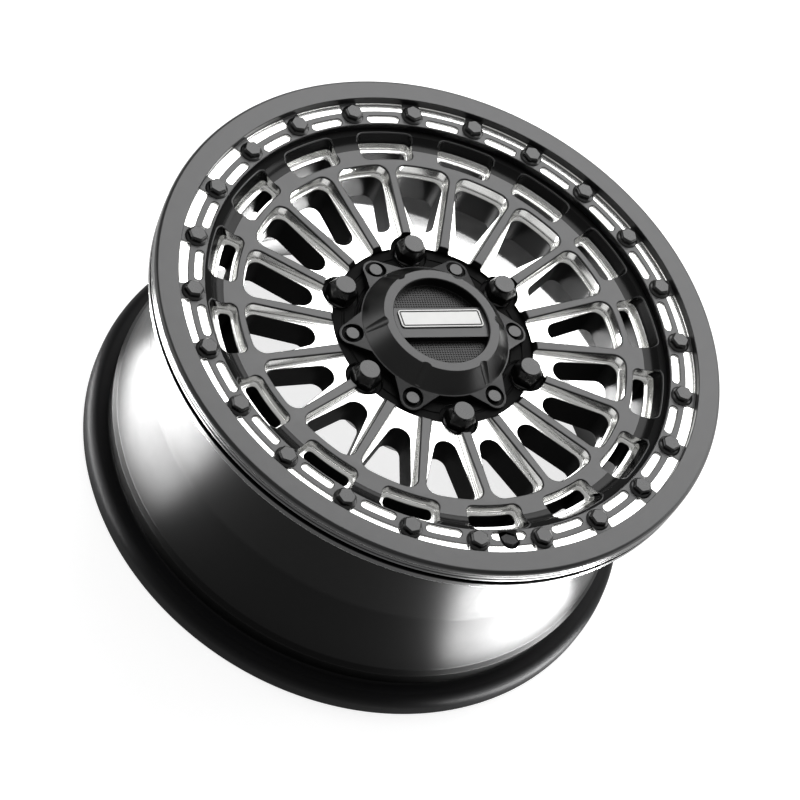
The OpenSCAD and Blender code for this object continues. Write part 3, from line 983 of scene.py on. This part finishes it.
    def valve_cut(self) -> tuple[bpy.types.Mesh, Matrix]:
        """Returns the cut of the valve's seat, hole and inner well, and its place."""
        seat, hole = self.valve_seat_r, self.valve_hole_r
        stops = [
            (seat, 30), (seat, 0), (hole, 0), (hole, -6), (seat, -6), (seat, -20), (hole, -20), (hole, -30),
        ]
        loops = [[(x, y, z) for x, y in disc(r)] for r, z in stops]
        mesh = solid(loops, [Surface.MILLED] * 2 + [Surface.PAINT] * (len(stops) - 1))
        lean = Matrix.Rotation(math.radians(self.valve_lean_deg), 4, "Y")
        place = Matrix.Translation(Vector((self.valve_r, 0, self.valve_z)) * MM)
        return mesh, Matrix.Rotation(math.pi, 4, "Z") @ place @ lean

    def round_cut(self, at_r: float, r: float, low: float, high: float) -> bpy.types.Mesh:
        """Returns the cut of a plain round hole at a distance from the axis."""
        return straight_cut([(at_r + x, y) for x, y in disc(r, 24)], low, high, Surface.PAINT)

    def mesh(self, finishes: list[bpy.types.Material]) -> bpy.types.Mesh:
        """Builds the casting and mills it: first what has a floor, then what goes through.

        Args:
            finishes: Its materials, in the order of Surface.

        Returns:
            The mesh.
        """
        blank = revolved(self.profile(), self.steps, self.tone)
        half, floor = 180 / self.spokes, self.pocket_floor_z
        window = Cut(lip=1.1, hollow=2.0, floor_z=self.ledge_z).mesh(self.window, self.face)
        pocket = Cut(lip=0.9, hollow=1.8, floor_z=floor, clear=2.5, rows=3).mesh(self.pocket, self.face)
        bolt_hole = self.round_cut(self.bolt_circle_r, self.bolt_hole_r, 165, 188)
        first = around(window, self.spokes, half) + around(pocket, self.pockets)
        first += around(bolt_hole, self.bolts, 180 / self.bolts)
        milled = carved(blank, first, finishes)
        # The walls of the openings and the slots take painted shade.
        through = Cut(lip=0.5, hollow=0.0, floor_z=120.0, clear=1.0, steps=3)
        opening = through.mesh(self.opening, lambda r: self.ledge_z, Surface.SHADE_BLACK)
        slot = through.mesh(self.slot, lambda r: floor, Surface.SHADE_BLACK)
        screw_hole = self.round_cut(self.screw_circle_r, self.screw_hole_r, 155, 172)
        second = around(opening, self.spokes, half) + around(slot, self.pockets)
        second += around(self.lug_well(), self.lugs) + around(screw_hole, self.lugs, 180 / self.lugs)
        done = carved(milled, second + [self.valve_cut()], finishes)
        self.paint_shade_on_outer_walls(done)
        return done

    def paint_shade_on_outer_walls(self, mesh: bpy.types.Mesh) -> None:
        """Paints shade on the upper part of the rim pockets' outer walls: bare milled metal there takes the
        hollow's painted-shade black.

        Args:
            mesh: The milled casting.
        """
        for face in mesh.polygons:
            x, y, z = face.center / MM
            on_wall = math.hypot(x, y) > self.shaded_wall_r and z > self.shaded_wall_z
            if on_wall and face.material_index == Surface.MILLED.value:
                face.material_index = Surface.HOLLOW_SHADE.value

    def build(self) -> None:
        """Builds and dresses the casting."""
        finishes = [paint.material() for paint in (PAINT, MILLED, BARREL, SHADE_BLACK, FLANGE, HOLLOW_SHADE, INSIDE)]
        placed("milled_casting", self.mesh(finishes), finishes, ["wheel_body"], "satin_black")


# The ring and the fasteners


@dataclass
class BeadlockRing:
    """The bolted ring: a milled strip and slot between each pair of bolts, and the valve's notch."""

    bore_r: float = 168.8
    outer_r: float = 205.0
    band_r: float = 188.3
    land_z: float = 185.0
    face_z: float = 195.7
    floor_z: float = 190.35
    rim_line_z: Flat = (191.05, 191.55)
    strip_in_r: float = 180.7
    strip_out_r: float = 187.9
    strip_mid_r: float = 184.0
    strip_half_deg: float = 5.5
    strip_corner: float = 1.0
    strip_depth: float = 0.9
    slot_in_r: float = 170.55
    slot_out_r: float = 176.35
    slot_mid_r: float = 173.0
    slot_half_deg: float = 4.06
    slot_corner: float = 2.88
    slot_depth: float = 1.5
    notch_in_r: float = 162.0
    notch_at_r: float = 176.4
    notch_half: float = 6.6
    bolt_circle_r: float = 177.8
    bolt_hole_r: float = 4.5
    bolts: int = 24
    steps: int = 300

    def profile(self) -> Plan:
        """Returns the ring's half section, with its edges eased and a line cut in its rim."""
        low, rim = self.land_z + 0.4, self.outer_r
        return eased([
            (self.bore_r, self.land_z, 0.4), (191, self.land_z, 0.2), (192, low, 0.2), (rim, low, 0.8),
            (rim, 187.6, 0.15), (rim - 0.5, 187.9, 0.1), (rim - 0.5, 188.6, 0.1), (rim, 188.9, 0.15),
            (rim, 190.9, 0.1), (rim - 0.35, 191.1, 0.05), (rim - 0.35, 191.5, 0.05), (rim, 191.7, 0.1),
            (rim, self.face_z, 2.8), (self.band_r, self.face_z, 0.7), (self.band_r, self.floor_z, 0.4),
            (self.bore_r, self.floor_z, 0.8),
        ], 6)

    def tone(self, r: float, z: float) -> Surface:
        """Returns the finish of the turned ring at a radius and a height."""
        in_line = r > self.outer_r - 0.4 and self.rim_line_z[0] < z < self.rim_line_z[1]
        return Surface.MILLED if in_line else Surface.PAINT

    def strip(self, offset: float, depth: float) -> Plan:
        """Draws the milled strip along the band.

        Args:
            offset: How far outside the nominal plan, in millimetres.
            depth: Share of the cut's depth; not used, because the walls are upright.

        Returns:
            Its plan.
        """
        r0, r1 = self.strip_in_r, self.strip_out_r
        half = math.radians(self.strip_half_deg) + offset / self.strip_mid_r
        return sector(r0 - offset, r1 + offset, half, self.strip_corner + offset, 4)

    def slot(self, offset: float, depth: float) -> Plan:
        """Draws the milled slot inside the strip.

        Args:
            offset: How far outside the nominal plan, in millimetres.
            depth: Share of the cut's depth; not used, because the walls are upright.

        Returns:
            Its plan.
        """
        r0, r1 = self.slot_in_r, self.slot_out_r
        half = math.radians(self.slot_half_deg) + offset / self.slot_mid_r
        return sector(r0 - offset, r1 + offset, half, self.slot_corner + offset, 7)

    def notch(self, offset: float, depth: float) -> Plan:
        """Draws the notch that the valve stands in, about +X.

        Args:
            offset: How far outside the nominal plan, in millimetres.
            depth: Share of the cut's depth; not used, because the walls are upright.

        Returns:
            Its plan.
        """
        r, quarter = self.notch_half + offset, math.pi / 2
        end = arc((self.notch_at_r, 0), r, -quarter, quarter, 12)
        return [(self.notch_in_r, -r)] + end + [(self.notch_in_r, r)]

    def mesh(self, finishes: list[bpy.types.Material]) -> bpy.types.Mesh:
        """Builds the ring and mills it.

        Args:
            finishes: Its materials, in the order of Surface.

        Returns:
            The mesh.
        """
        blank = revolved(self.profile(), self.steps, self.tone)
        floor = self.floor_z
        low = floor - self.strip_depth
        strip = Cut(lip=0.25, hollow=0.3, floor_z=low).mesh(self.strip, lambda r: floor)
        low = floor - self.slot_depth
        slot = Cut(lip=0.6, hollow=0.7, floor_z=low).mesh(self.slot, lambda r: floor)
        plan = [(self.bolt_circle_r + x, y) for x, y in disc(self.bolt_hole_r, 32)]
        hole = straight_cut(plan, 180, 194, Surface.PAINT)
        cuts = around(strip, self.bolts) + around(slot, self.bolts)
        cuts += around(hole, self.bolts, 180 / self.bolts)
        milled = carved(blank, cuts, finishes)
        notch = Cut(lip=0.6, hollow=0.0, floor_z=180.0, steps=3).mesh(self.notch, lambda r: floor)
        return carved(milled, around(notch, 1, 180), finishes)

    def build(self) -> None:
        """Builds and dresses the ring."""
        finishes = [PAINT.material(), MILLED.material()]
        placed("milled_beadlock_ring", self.mesh(finishes), finishes, ["beadlock_ring"], "satin_black")


def hexagon(flats: float, corner: float) -> Plan:
    """Returns a hexagon with rounded corners, a corner on +X.

    Args:
        flats: Its width across the flats.
        corner: Radius of its corners.

    Returns:
        The outline.
    """
    sixth = math.pi / 6
    apothem, reach = flats / 2, (flats / 2 - corner) / math.cos(sixth)
    last = sixth - math.atan(reach * math.sin(sixth) / apothem)
    points = []
    for k in range(ROUND):
        angle = TURN * k / ROUND
        off = abs((angle + sixth) % (2 * sixth) - sixth)
        side = apothem / math.cos(sixth - off)
        if off < last:
            side = reach * math.cos(off) + math.sqrt(corner**2 - (reach * math.sin(off)) ** 2)
        points.append(polar(side, angle))
    return points


def stacked(levels: list[tuple[Plan, float, Surface]]) -> bpy.types.Mesh:
    """Builds a solid from (plan, height, finish of the band above it), from the bottom to the top."""
    loops = [[(x, y, z) for x, y in plan] for plan, z, _ in levels]
    return solid(loops, [tone for _, _, tone in levels[:-1]] + [levels[0][2], levels[-1][2]])


def one_finish(levels: list[tuple[Plan, float]], at_z: float) -> bpy.types.Mesh:
    """Builds a solid of one finish from (plan, height over at_z), from the bottom to the top."""
    return stacked([(plan, at_z + up, Surface.PAINT) for plan, up in levels])


def repeated(
    mesh: bpy.types.Mesh, finish: bpy.types.Material, count: int, radius_mm: float, phase_deg: float
) -> bpy.types.Mesh:
    """Sets copies of a fastener on a circle by Geometry Nodes.

    Args:
        mesh: The fastener, with its own axis on Z.
        finish: Its material.
        count: Number of copies.
        radius_mm: Radius of the circle.
        phase_deg: Angle of the first copy.

    Returns:
        The plain mesh of them all.
    """
    layout = Layout("fasteners_on_a_circle", {
        "Count": ("NodeSocketInt", count),
        "Radius": ("NodeSocketFloat", radius_mm * MM),
        "Phase": ("NodeSocketFloat", math.radians(phase_deg)),
        "Finish": ("NodeSocketMaterial", finish),
    })
    tree, given = layout.tree, layout.given
    step = layout.sum("DIVIDE", TURN, given["Count"])
    index = add(tree, "GeometryNodeInputIndex").outputs[0]
    angle = layout.sum("MULTIPLY_ADD", index, step, given["Phase"])
    along = {0: layout.sum("COSINE", angle), 1: layout.sum("SINE", angle)}
    unit = add(tree, "ShaderNodeCombineXYZ", along).outputs[0]
    inputs = {0: unit, "Scale": given["Radius"]}
    place = add(tree, "ShaderNodeVectorMath", inputs, operation="SCALE").outputs[0]
    inputs = {"Count": given["Count"], "Position": place}
    points = add(tree, "GeometryNodePoints", inputs).outputs[0]
    turn = add(tree, "ShaderNodeCombineXYZ", {2: angle}).outputs[0]
    return layout.run(mesh, {"Points": points, "Rotation": turn})


@dataclass
class Fasteners:
    """Ring bolts, lug nuts and cap screws, each kind made once and set out on its circle."""

    bolt_circle_r: float = 177.8
    bolt_seat_z: float = 190.35
    bolt_flats: float = 12.0
    bolt_flange_r: float = 8.0
    bolt_shank_r: float = 3.7
    bolts: int = 24
    lug_circle_r: float = 69.85
    lug_seat_z: float = 167.0
    nut_flats: float = 19.0
    nut_collar_r: float = 10.3
    nut_neck_r: float = 7.5
    lugs: int = 6
    screw_circle_r: float = 61.4
    screw_seat_z: float = 171.0
    screw_head_r: float = 4.8
    screw_shank_r: float = 2.7
    washer_in_r: float = 4.9
    washer_out_r: float = 7.2

    def ring_bolt(self) -> bpy.types.Mesh:
        """Returns a hex bolt with a sloping flange, a crown chamfer and its shank."""
        shank, flange, flats = self.bolt_shank_r, self.bolt_flange_r, self.bolt_flats
        return one_finish([
            (disc(shank), -23), (disc(shank), 0), (disc(flange - 0.2), 0), (disc(flange), 0.15),
            (disc(flange), 0.5), (disc(flange - 0.3), 0.75), (disc(flange - 0.9), 1.15),
            (hexagon(flats, 0.9), 1.45), (hexagon(flats, 0.9), 3.5), (hexagon(flats - 0.4, 0.9), 3.95),
            (hexagon(flats - 1.8, 1.0), 4.6), (hexagon(flats - 2.3, 1.0), 4.82),
            (hexagon(flats - 2.6, 1.0), 4.85),
        ], self.bolt_seat_z)

    def lug_nut(self) -> bpy.types.Mesh:
        """Returns a tall closed nut: cone seat, collar, hex body, shoulder, round neck and eased flat end."""
        collar, flats, neck = self.nut_collar_r, self.nut_flats, self.nut_neck_r
        return one_finish([
            (disc(7.2), -4.4), (disc(collar), 0), (disc(collar), 0.9), (disc(collar - 0.6), 1.5),
            (hexagon(flats - 0.4, 1.2), 1.7), (hexagon(flats, 1.2), 2.2), (hexagon(flats, 1.2), 8.4),
            (hexagon(flats - 0.8, 1.6), 9.6), (hexagon(flats - 2.6, 3.0), 11.6),
            (hexagon(flats - 3.7, 7.0), 12.6), (disc(neck), 13.2), (disc(neck - 0.05), 14.1),
            (disc(neck - 0.3), 14.45), (disc(neck - 0.6), 14.6),
        ], self.lug_seat_z)

    def cap_screw(self) -> bpy.types.Mesh:
        """Returns a flat round-headed screw with an eased edge, and its shank."""
        shank, head = self.screw_shank_r, self.screw_head_r
        return one_finish([
            (disc(shank), -14), (disc(shank), 0), (disc(head - 0.1), 0), (disc(head), 0.15),
            (disc(head), 2.0), (disc(head - 0.15), 2.35), (disc(head - 0.45), 2.5),
        ], self.screw_seat_z)

    def washer(self) -> bpy.types.Mesh:
        """Returns the thin dark washer that shows round a cap screw's head."""
        z, near, far = self.screw_seat_z, self.washer_in_r, self.washer_out_r
        section = [
            (near, 0.02), (far, 0.02), (far + 0.05, 0.1), (far, 0.3), (far - 0.2, 0.38), (near + 0.2, 0.38),
            (near, 0.3),
        ]
        loops = [[(x, y, z + up) for x, y in disc(r)] for r, up in section]
        return solid(loops, [Surface.PAINT] * len(section), closed=True)

    def build(self) -> None:
        """Builds and dresses all the fasteners."""
        zinc, shade_black = ZINC.material(), SHADE_BLACK.material()
        bolts = (self.bolts, self.bolt_circle_r, 180 / self.bolts)
        nuts = (self.lugs, self.lug_circle_r, 0)
        screws = (self.lugs, self.screw_circle_r, 180 / self.lugs)
        circles = [
            ("hex_ring_bolts", self.ring_bolt(), bolts, "ring_bolt_{:02d}", "bolt_black"),
            ("closed_lug_nuts", self.lug_nut(), nuts, "lug_nut_{}", "nut_black"),
            ("round_cap_screws", self.cap_screw(), screws, "cap_screw_{}", "screw_black"),
        ]
        for name, mesh, circle, node, slot in circles:
            nodes = [node.format(i + 1) for i in range(circle[0])]
            placed(name, repeated(mesh, zinc, *circle), [zinc], nodes, slot)
        # The washers take the same painted-shade black as the recesses.
        washers = repeated(self.washer(), shade_black, *screws)
        placed("cap_screw_washers", washers, [shade_black], [], "screw_black")


# The cap and the valve


@dataclass
class Cap:
    """The cap's finish, the waffle that its recess is embossed with, and the plate on its bar."""

    recess_r: float = 34.8
    floor_z: float = 179.5
    bar_half: float = 12.5
    pitch: float = 1.9
    tile: float = 1.25
    tile_h: float = 0.55
    plate_z: float = 185.0
    plate_at: Flat = (2.8, -0.7)
    plate_half: Flat = (7.25, 31.0)
    plate_corner: float = 2.6

    def waffle(self, finish: bpy.types.Material) -> bpy.types.Mesh:
        """Sets small frustums on a square grid by Geometry Nodes and keeps those beside the bar.

        Args:
            finish: Their material.

        Returns:
            The plain mesh of them all, on a thin floor.
        """
        base, top = self.tile / 2, self.tile / 2 - 0.3
        square = [(1, 1), (-1, 1), (-1, -1), (1, -1)]
        levels = [(base, -0.2), (base, 0.1), (top, self.tile_h)]
        loops = [[(x * half, y * half, self.floor_z + z) for x, y in square] for half, z in levels]
        count = 2 * int(self.recess_r / self.pitch) + 1
        layout = Layout("embossed_grid", {
            "Count": ("NodeSocketInt", count),
            "Reach": ("NodeSocketFloat", (count - 1) * self.pitch * MM),
            "Recess Radius": ("NodeSocketFloat", (self.recess_r - self.tile * 0.8) * MM),
            "Bar Half Width": ("NodeSocketFloat", (self.bar_half + self.tile * 0.6) * MM),
            "Finish": ("NodeSocketMaterial", finish),
        })
        tree, given = layout.tree, layout.given
        inputs = {f"Size {axis}": given["Reach"] for axis in "XY"}
        inputs |= {f"Vertices {axis}": given["Count"] for axis in "XY"}
        grid = add(tree, "GeometryNodeMeshGrid", inputs).outputs[0]
        place = add(tree, "GeometryNodeInputPosition").outputs[0]
        far = add(tree, "ShaderNodeVectorMath", {0: place}, operation="LENGTH").outputs["Value"]
        x = add(tree, "ShaderNodeSeparateXYZ", {0: place}).outputs[0]
        out = layout.sum("GREATER_THAN", far, given["Recess Radius"])
        under = layout.sum("LESS_THAN", layout.sum("ABSOLUTE", x), given["Bar Half Width"])
        points = add(tree, "GeometryNodeMeshToPoints", {"Mesh": grid}).outputs[0]
        inputs = {"Geometry": points, "Selection": layout.sum("MAXIMUM", out, under)}
        kept = add(tree, "GeometryNodeDeleteGeometry", inputs, domain="POINT").outputs[0]
        tiles = layout.run(solid(loops, [Surface.PAINT] * 4), {"Points": kept})
        edge = math.acos(self.bar_half / self.recess_r)
        low, high = self.floor_z - 0.2, self.floor_z + 0.08
        parts = [(tiles, Matrix())]
        for start in (0.0, math.pi):
            plan = arc((0, 0), self.recess_r, start - edge, start + edge, 40)
            parts.append((straight_cut(plan, low, high, Surface.PAINT), Matrix()))
        return joined(parts)

    def plate_plan(self, inset: float, corner: float) -> Plan:
        """Draws the plate with rounded corners.

        Args:
            inset: How far inside its edge, in millimetres.
            corner: Radius of the corners at the edge.

        Returns:
            Its plan.
        """
        half_w, half_l = self.plate_half[0] - inset, self.plate_half[1] - inset
        radius = max(corner - inset, 0.3)
        x, y = self.plate_at
        lean, slant = 0.15, 0.3  # how far its sides lean out of square
        return eased([
            (x - half_w + lean, y - half_l - slant, radius), (x + half_w + lean, y - half_l + slant, radius),
            (x + half_w - lean, y + half_l + slant, radius), (x - half_w - lean, y + half_l - slant, radius),
        ], 6)

    def plate(self) -> bpy.types.Mesh:
        """Returns the plate: a bright border, a dark groove and a bare raised field."""
        z, bright, dark = self.plate_z, Surface.MILLED, Surface.PAINT
        stops = [
            (0.1, 0.0, dark), (0.0, 0.15, dark), (0.0, 0.95, bright), (0.25, 1.2, bright), (1.05, 1.2, dark),
            (1.15, 0.8, dark), (1.95, 0.8, dark), (2.05, 1.1, bright), (2.2, 1.2, bright),
        ]
        corner = self.plate_corner
        return stacked([(self.plate_plan(inset, corner), z + up, tone) for inset, up, tone in stops])

    def build(self, frame: dict) -> None:
        """Dresses the cap and adds its waffle and its plate.
        """
        put(frame["nodes"]["centre_cap"], CAP.material())
        weave = WEAVE.material()
        placed("embossed_cap_floor", self.waffle(weave), [weave], [], "cap_black", 20.0)
        placed("bordered_plate", self.plate(), [weave, PLATE.material()], ["cap_badge"], "badge_white")


@dataclass
class Valve:
    """The valve's finishes on its CAD shapes: plated metal and a rubber seal."""

    metal: tuple[str, ...] = ("valve_stem", "valve_washer", "valve_nut", "valve_cap")
    seal: str = "valve_seal"

    def build(self, frame: dict) -> None:
        """Dresses the valve.
        """
        nickel = VALVE.material()
        for name in self.metal:
            put(frame["nodes"][name], nickel)
        put(frame["nodes"][self.seal], RUBBER.material())


# The studio


@dataclass(frozen=True)
class Lamp:
    """A soft lamp that the camera doesn't see; places and sizes in metres, power in watts."""

    name: str
    at: Point
    size: Flat
    power: float
    aim: Point = (0, 0, 0.15)
    turn_deg: float = 0.0

    def hang(self) -> None:
        """Adds the lamp to the scene, facing its aim and turned about the upright axis."""
        data = bpy.data.lights.new(self.name, "AREA")
        data.shape = "RECTANGLE"
        data.size, data.size_y = self.size
        data.energy = self.power
        lamp = bpy.data.objects.new(self.name, data)
        lamp.location = self.at
        lamp.rotation_euler = (Vector(self.at) - Vector(self.aim)).to_track_quat("Z", "Y").to_euler()
        lamp.rotation_euler.z += math.radians(self.turn_deg)
        lamp.visible_camera = False
        bpy.context.scene.collection.objects.link(lamp)


def floor_lamp(name: str, at: Flat, size: Flat, power: float, turn_deg: float) -> Lamp:
    """Returns a lamp that lies on the floor and faces straight up, for the barrel's highlights."""
    return Lamp(name, (*at, 0.004), size, power, (*at, 1.0), turn_deg)


@dataclass
class Studio:
    """Pale floor, soft lamps and the camera at the photograph's angle."""

    eye: Point = (-979.8, 800.9, 1601.8)
    right: Point = (-0.2395, -0.9126, 0.3306)
    up: Point = (0.8348, -0.0197, 0.5509)
    focal_px: float = 2771.9
    frame_px: float = 800.0
    sensor_mm: float = 36.0
    floor_half: float = 6.0
    floor_glow: float = 0.78
    floor_grey: float = 0.5
    horizon: float = 0.06
    ceiling: float = 0.45
    lamps: tuple[Lamp, ...] = (
        Lamp("key_softbox", (0.92, -0.68, 1.48), (1.4, 1.4), 25.0, (0, 0, 0.1)),
        Lamp("side_softbox", (0.9, 1.55, 0.75), (1.0, 1.0), 9.0),
        floor_lamp("left_reflector", (0.05, 0.265), (0.2, 0.09), 3.0, -11),
        floor_lamp("right_reflector", (-0.225, -0.12), (0.07, 0.17), 2.0, 28),
        floor_lamp("inner_reflector_top", (0.15, 0.0), (0.035, 0.13), 1.2, 0),
        floor_lamp("inner_reflector_right", polar(0.15, math.radians(-50)), (0.035, 0.13), 1.2, -50),
        Lamp("low_softbox", (-0.56, -1.55, 0.42), (1.2, 0.4), 4.5),
        Lamp("right_softbox", (0.25, -1.5, 0.95), (1.0, 0.7), 9.0),
    )

    def camera(self) -> None:
        """Places the camera that was worked out from the photograph's perspective."""
        data = bpy.data.cameras.new("photo_camera")
        data.sensor_fit = "HORIZONTAL"
        data.sensor_width = self.sensor_mm
        data.lens = self.focal_px / self.frame_px * data.sensor_width
        data.clip_start, data.clip_end = 0.05, 50.0
        right = Vector(self.right).normalized()
        up = Vector(self.up)
        up = (up - up.dot(right) * right).normalized()
        back = right.cross(up)
        turn = Matrix((right, up, back)).transposed().to_4x4()
        camera = bpy.data.objects.new("photo_camera", data)
        camera.matrix_world = Matrix.Translation(Vector(self.eye) * MM) @ turn
        bpy.context.scene.collection.objects.link(camera)
        bpy.context.scene.camera = camera

    def seen(self, tree: bpy.types.NodeTree) -> bpy.types.NodeSocket:
        """Tells the rays that show a background: to the camera, in a reflection or through glass.

        Args:
            tree: The tree that asks.

        Returns:
            1 for such a ray and 0 for the others.
        """
        path = add(tree, "ShaderNodeLightPath").outputs
        first = {0: path["Is Camera Ray"], 1: path["Is Glossy Ray"]}
        second = {0: add(tree, "ShaderNodeMath", first, operation="MAXIMUM").outputs[0]}
        second[1] = path["Is Transmission Ray"]
        return add(tree, "ShaderNodeMath", second, operation="MAXIMUM").outputs[0]

    def floor(self) -> None:
        """Lays the pale floor, which keeps the wheel's shadow."""
        half = self.floor_half
        square = [(-half, -half, 0), (half, -half, 0), (half, half, 0), (-half, half, 0)]
        mesh = bpy.data.meshes.new("floor")
        mesh.from_pydata(square, [], [(0, 1, 2, 3)])
        floor = object_of("floor", mesh)
        floor.location.z = -0.0002
        material = bpy.data.materials.new("pale_floor")
        material.use_nodes = True
        tree = material.node_tree
        tree.nodes.clear()
        glow = add(tree, "ShaderNodeEmission", {"Color": (1, 1, 1, 1), "Strength": self.floor_glow})
        shade = add(tree, "ShaderNodeBsdfDiffuse", {"Color": (*[self.floor_grey] * 3, 1)})
        dim = add(tree, "ShaderNodeMixShader", {0: self.seen(tree), 2: glow.outputs[0]})
        both = add(tree, "ShaderNodeAddShader", {0: dim.outputs[0], 1: shade.outputs[0]})
        add(tree, "ShaderNodeOutputMaterial", {"Surface": both.outputs[0]})
        floor.data.materials.append(material)
        floor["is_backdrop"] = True

    def world(self) -> None:
        """Lights the wheel from a pale ceiling and shows a white backdrop behind the floor's edge."""
        world = bpy.data.worlds.new("studio_world")
        bpy.context.scene.world = world
        world.use_nodes = True
        tree = world.node_tree
        tree.nodes.clear()
        way = add(tree, "ShaderNodeTexCoord").outputs["Generated"]
        height = add(tree, "ShaderNodeSeparateXYZ", {0: way}).outputs[2]
        dome = {"From Min": 0.1, "From Max": 0.6, "To Min": self.horizon, "To Max": self.ceiling}
        light = add(tree, "ShaderNodeMapRange", {"Value": height, **dome}).outputs[0]
        wall = {"From Min": 0.15, "From Max": 0.2, "To Min": 1.0, "To Max": 0.0}
        backdrop = add(tree, "ShaderNodeMapRange", {"Value": height, **wall}).outputs[0]
        inputs = {0: backdrop, 1: self.seen(tree)}
        shown = add(tree, "ShaderNodeMath", inputs, operation="MULTIPLY").outputs[0]
        light = add(tree, "ShaderNodeMath", {0: light, 1: shown}, operation="MAXIMUM").outputs[0]
        ceiling = add(tree, "ShaderNodeBackground", {"Color": (1, 1, 1, 1), "Strength": light}).outputs[0]
        add(tree, "ShaderNodeOutputWorld", {"Surface": ceiling})

    def set_up(self) -> None:
        """Builds the whole studio."""
        self.camera()
        self.floor()
        self.world()
        for lamp in self.lamps:
            lamp.hang()
        bpy.context.scene.view_settings.view_transform = "Standard"


def corners() -> list[list[float]]:
    """Returns the lowest and highest corner of all that shows, as plain lists."""
    low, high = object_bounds()
    return [list(low), list(high)]


def put(piece: bpy.types.Object, material: bpy.types.Material) -> None:
    """Puts one material on a whole piece.

    Args:
        piece: The piece.
        material: The material.
    """
    piece.data.materials.clear()
    piece.data.materials.append(material)
    LOG.info("%s: dressed in %s", piece.name, material.name)


def main() -> None:
    """Dresses the wheel, piece by piece, and sets up the studio."""
    logging.basicConfig(level=logging.INFO, format="%(message)s")
    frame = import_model()
    Studio().set_up()
    WheelBody().build()
    BeadlockRing().build()
    Fasteners().build()
    Valve().build(frame)
    Cap().build(frame)


if __name__ == "__main__":
    main()
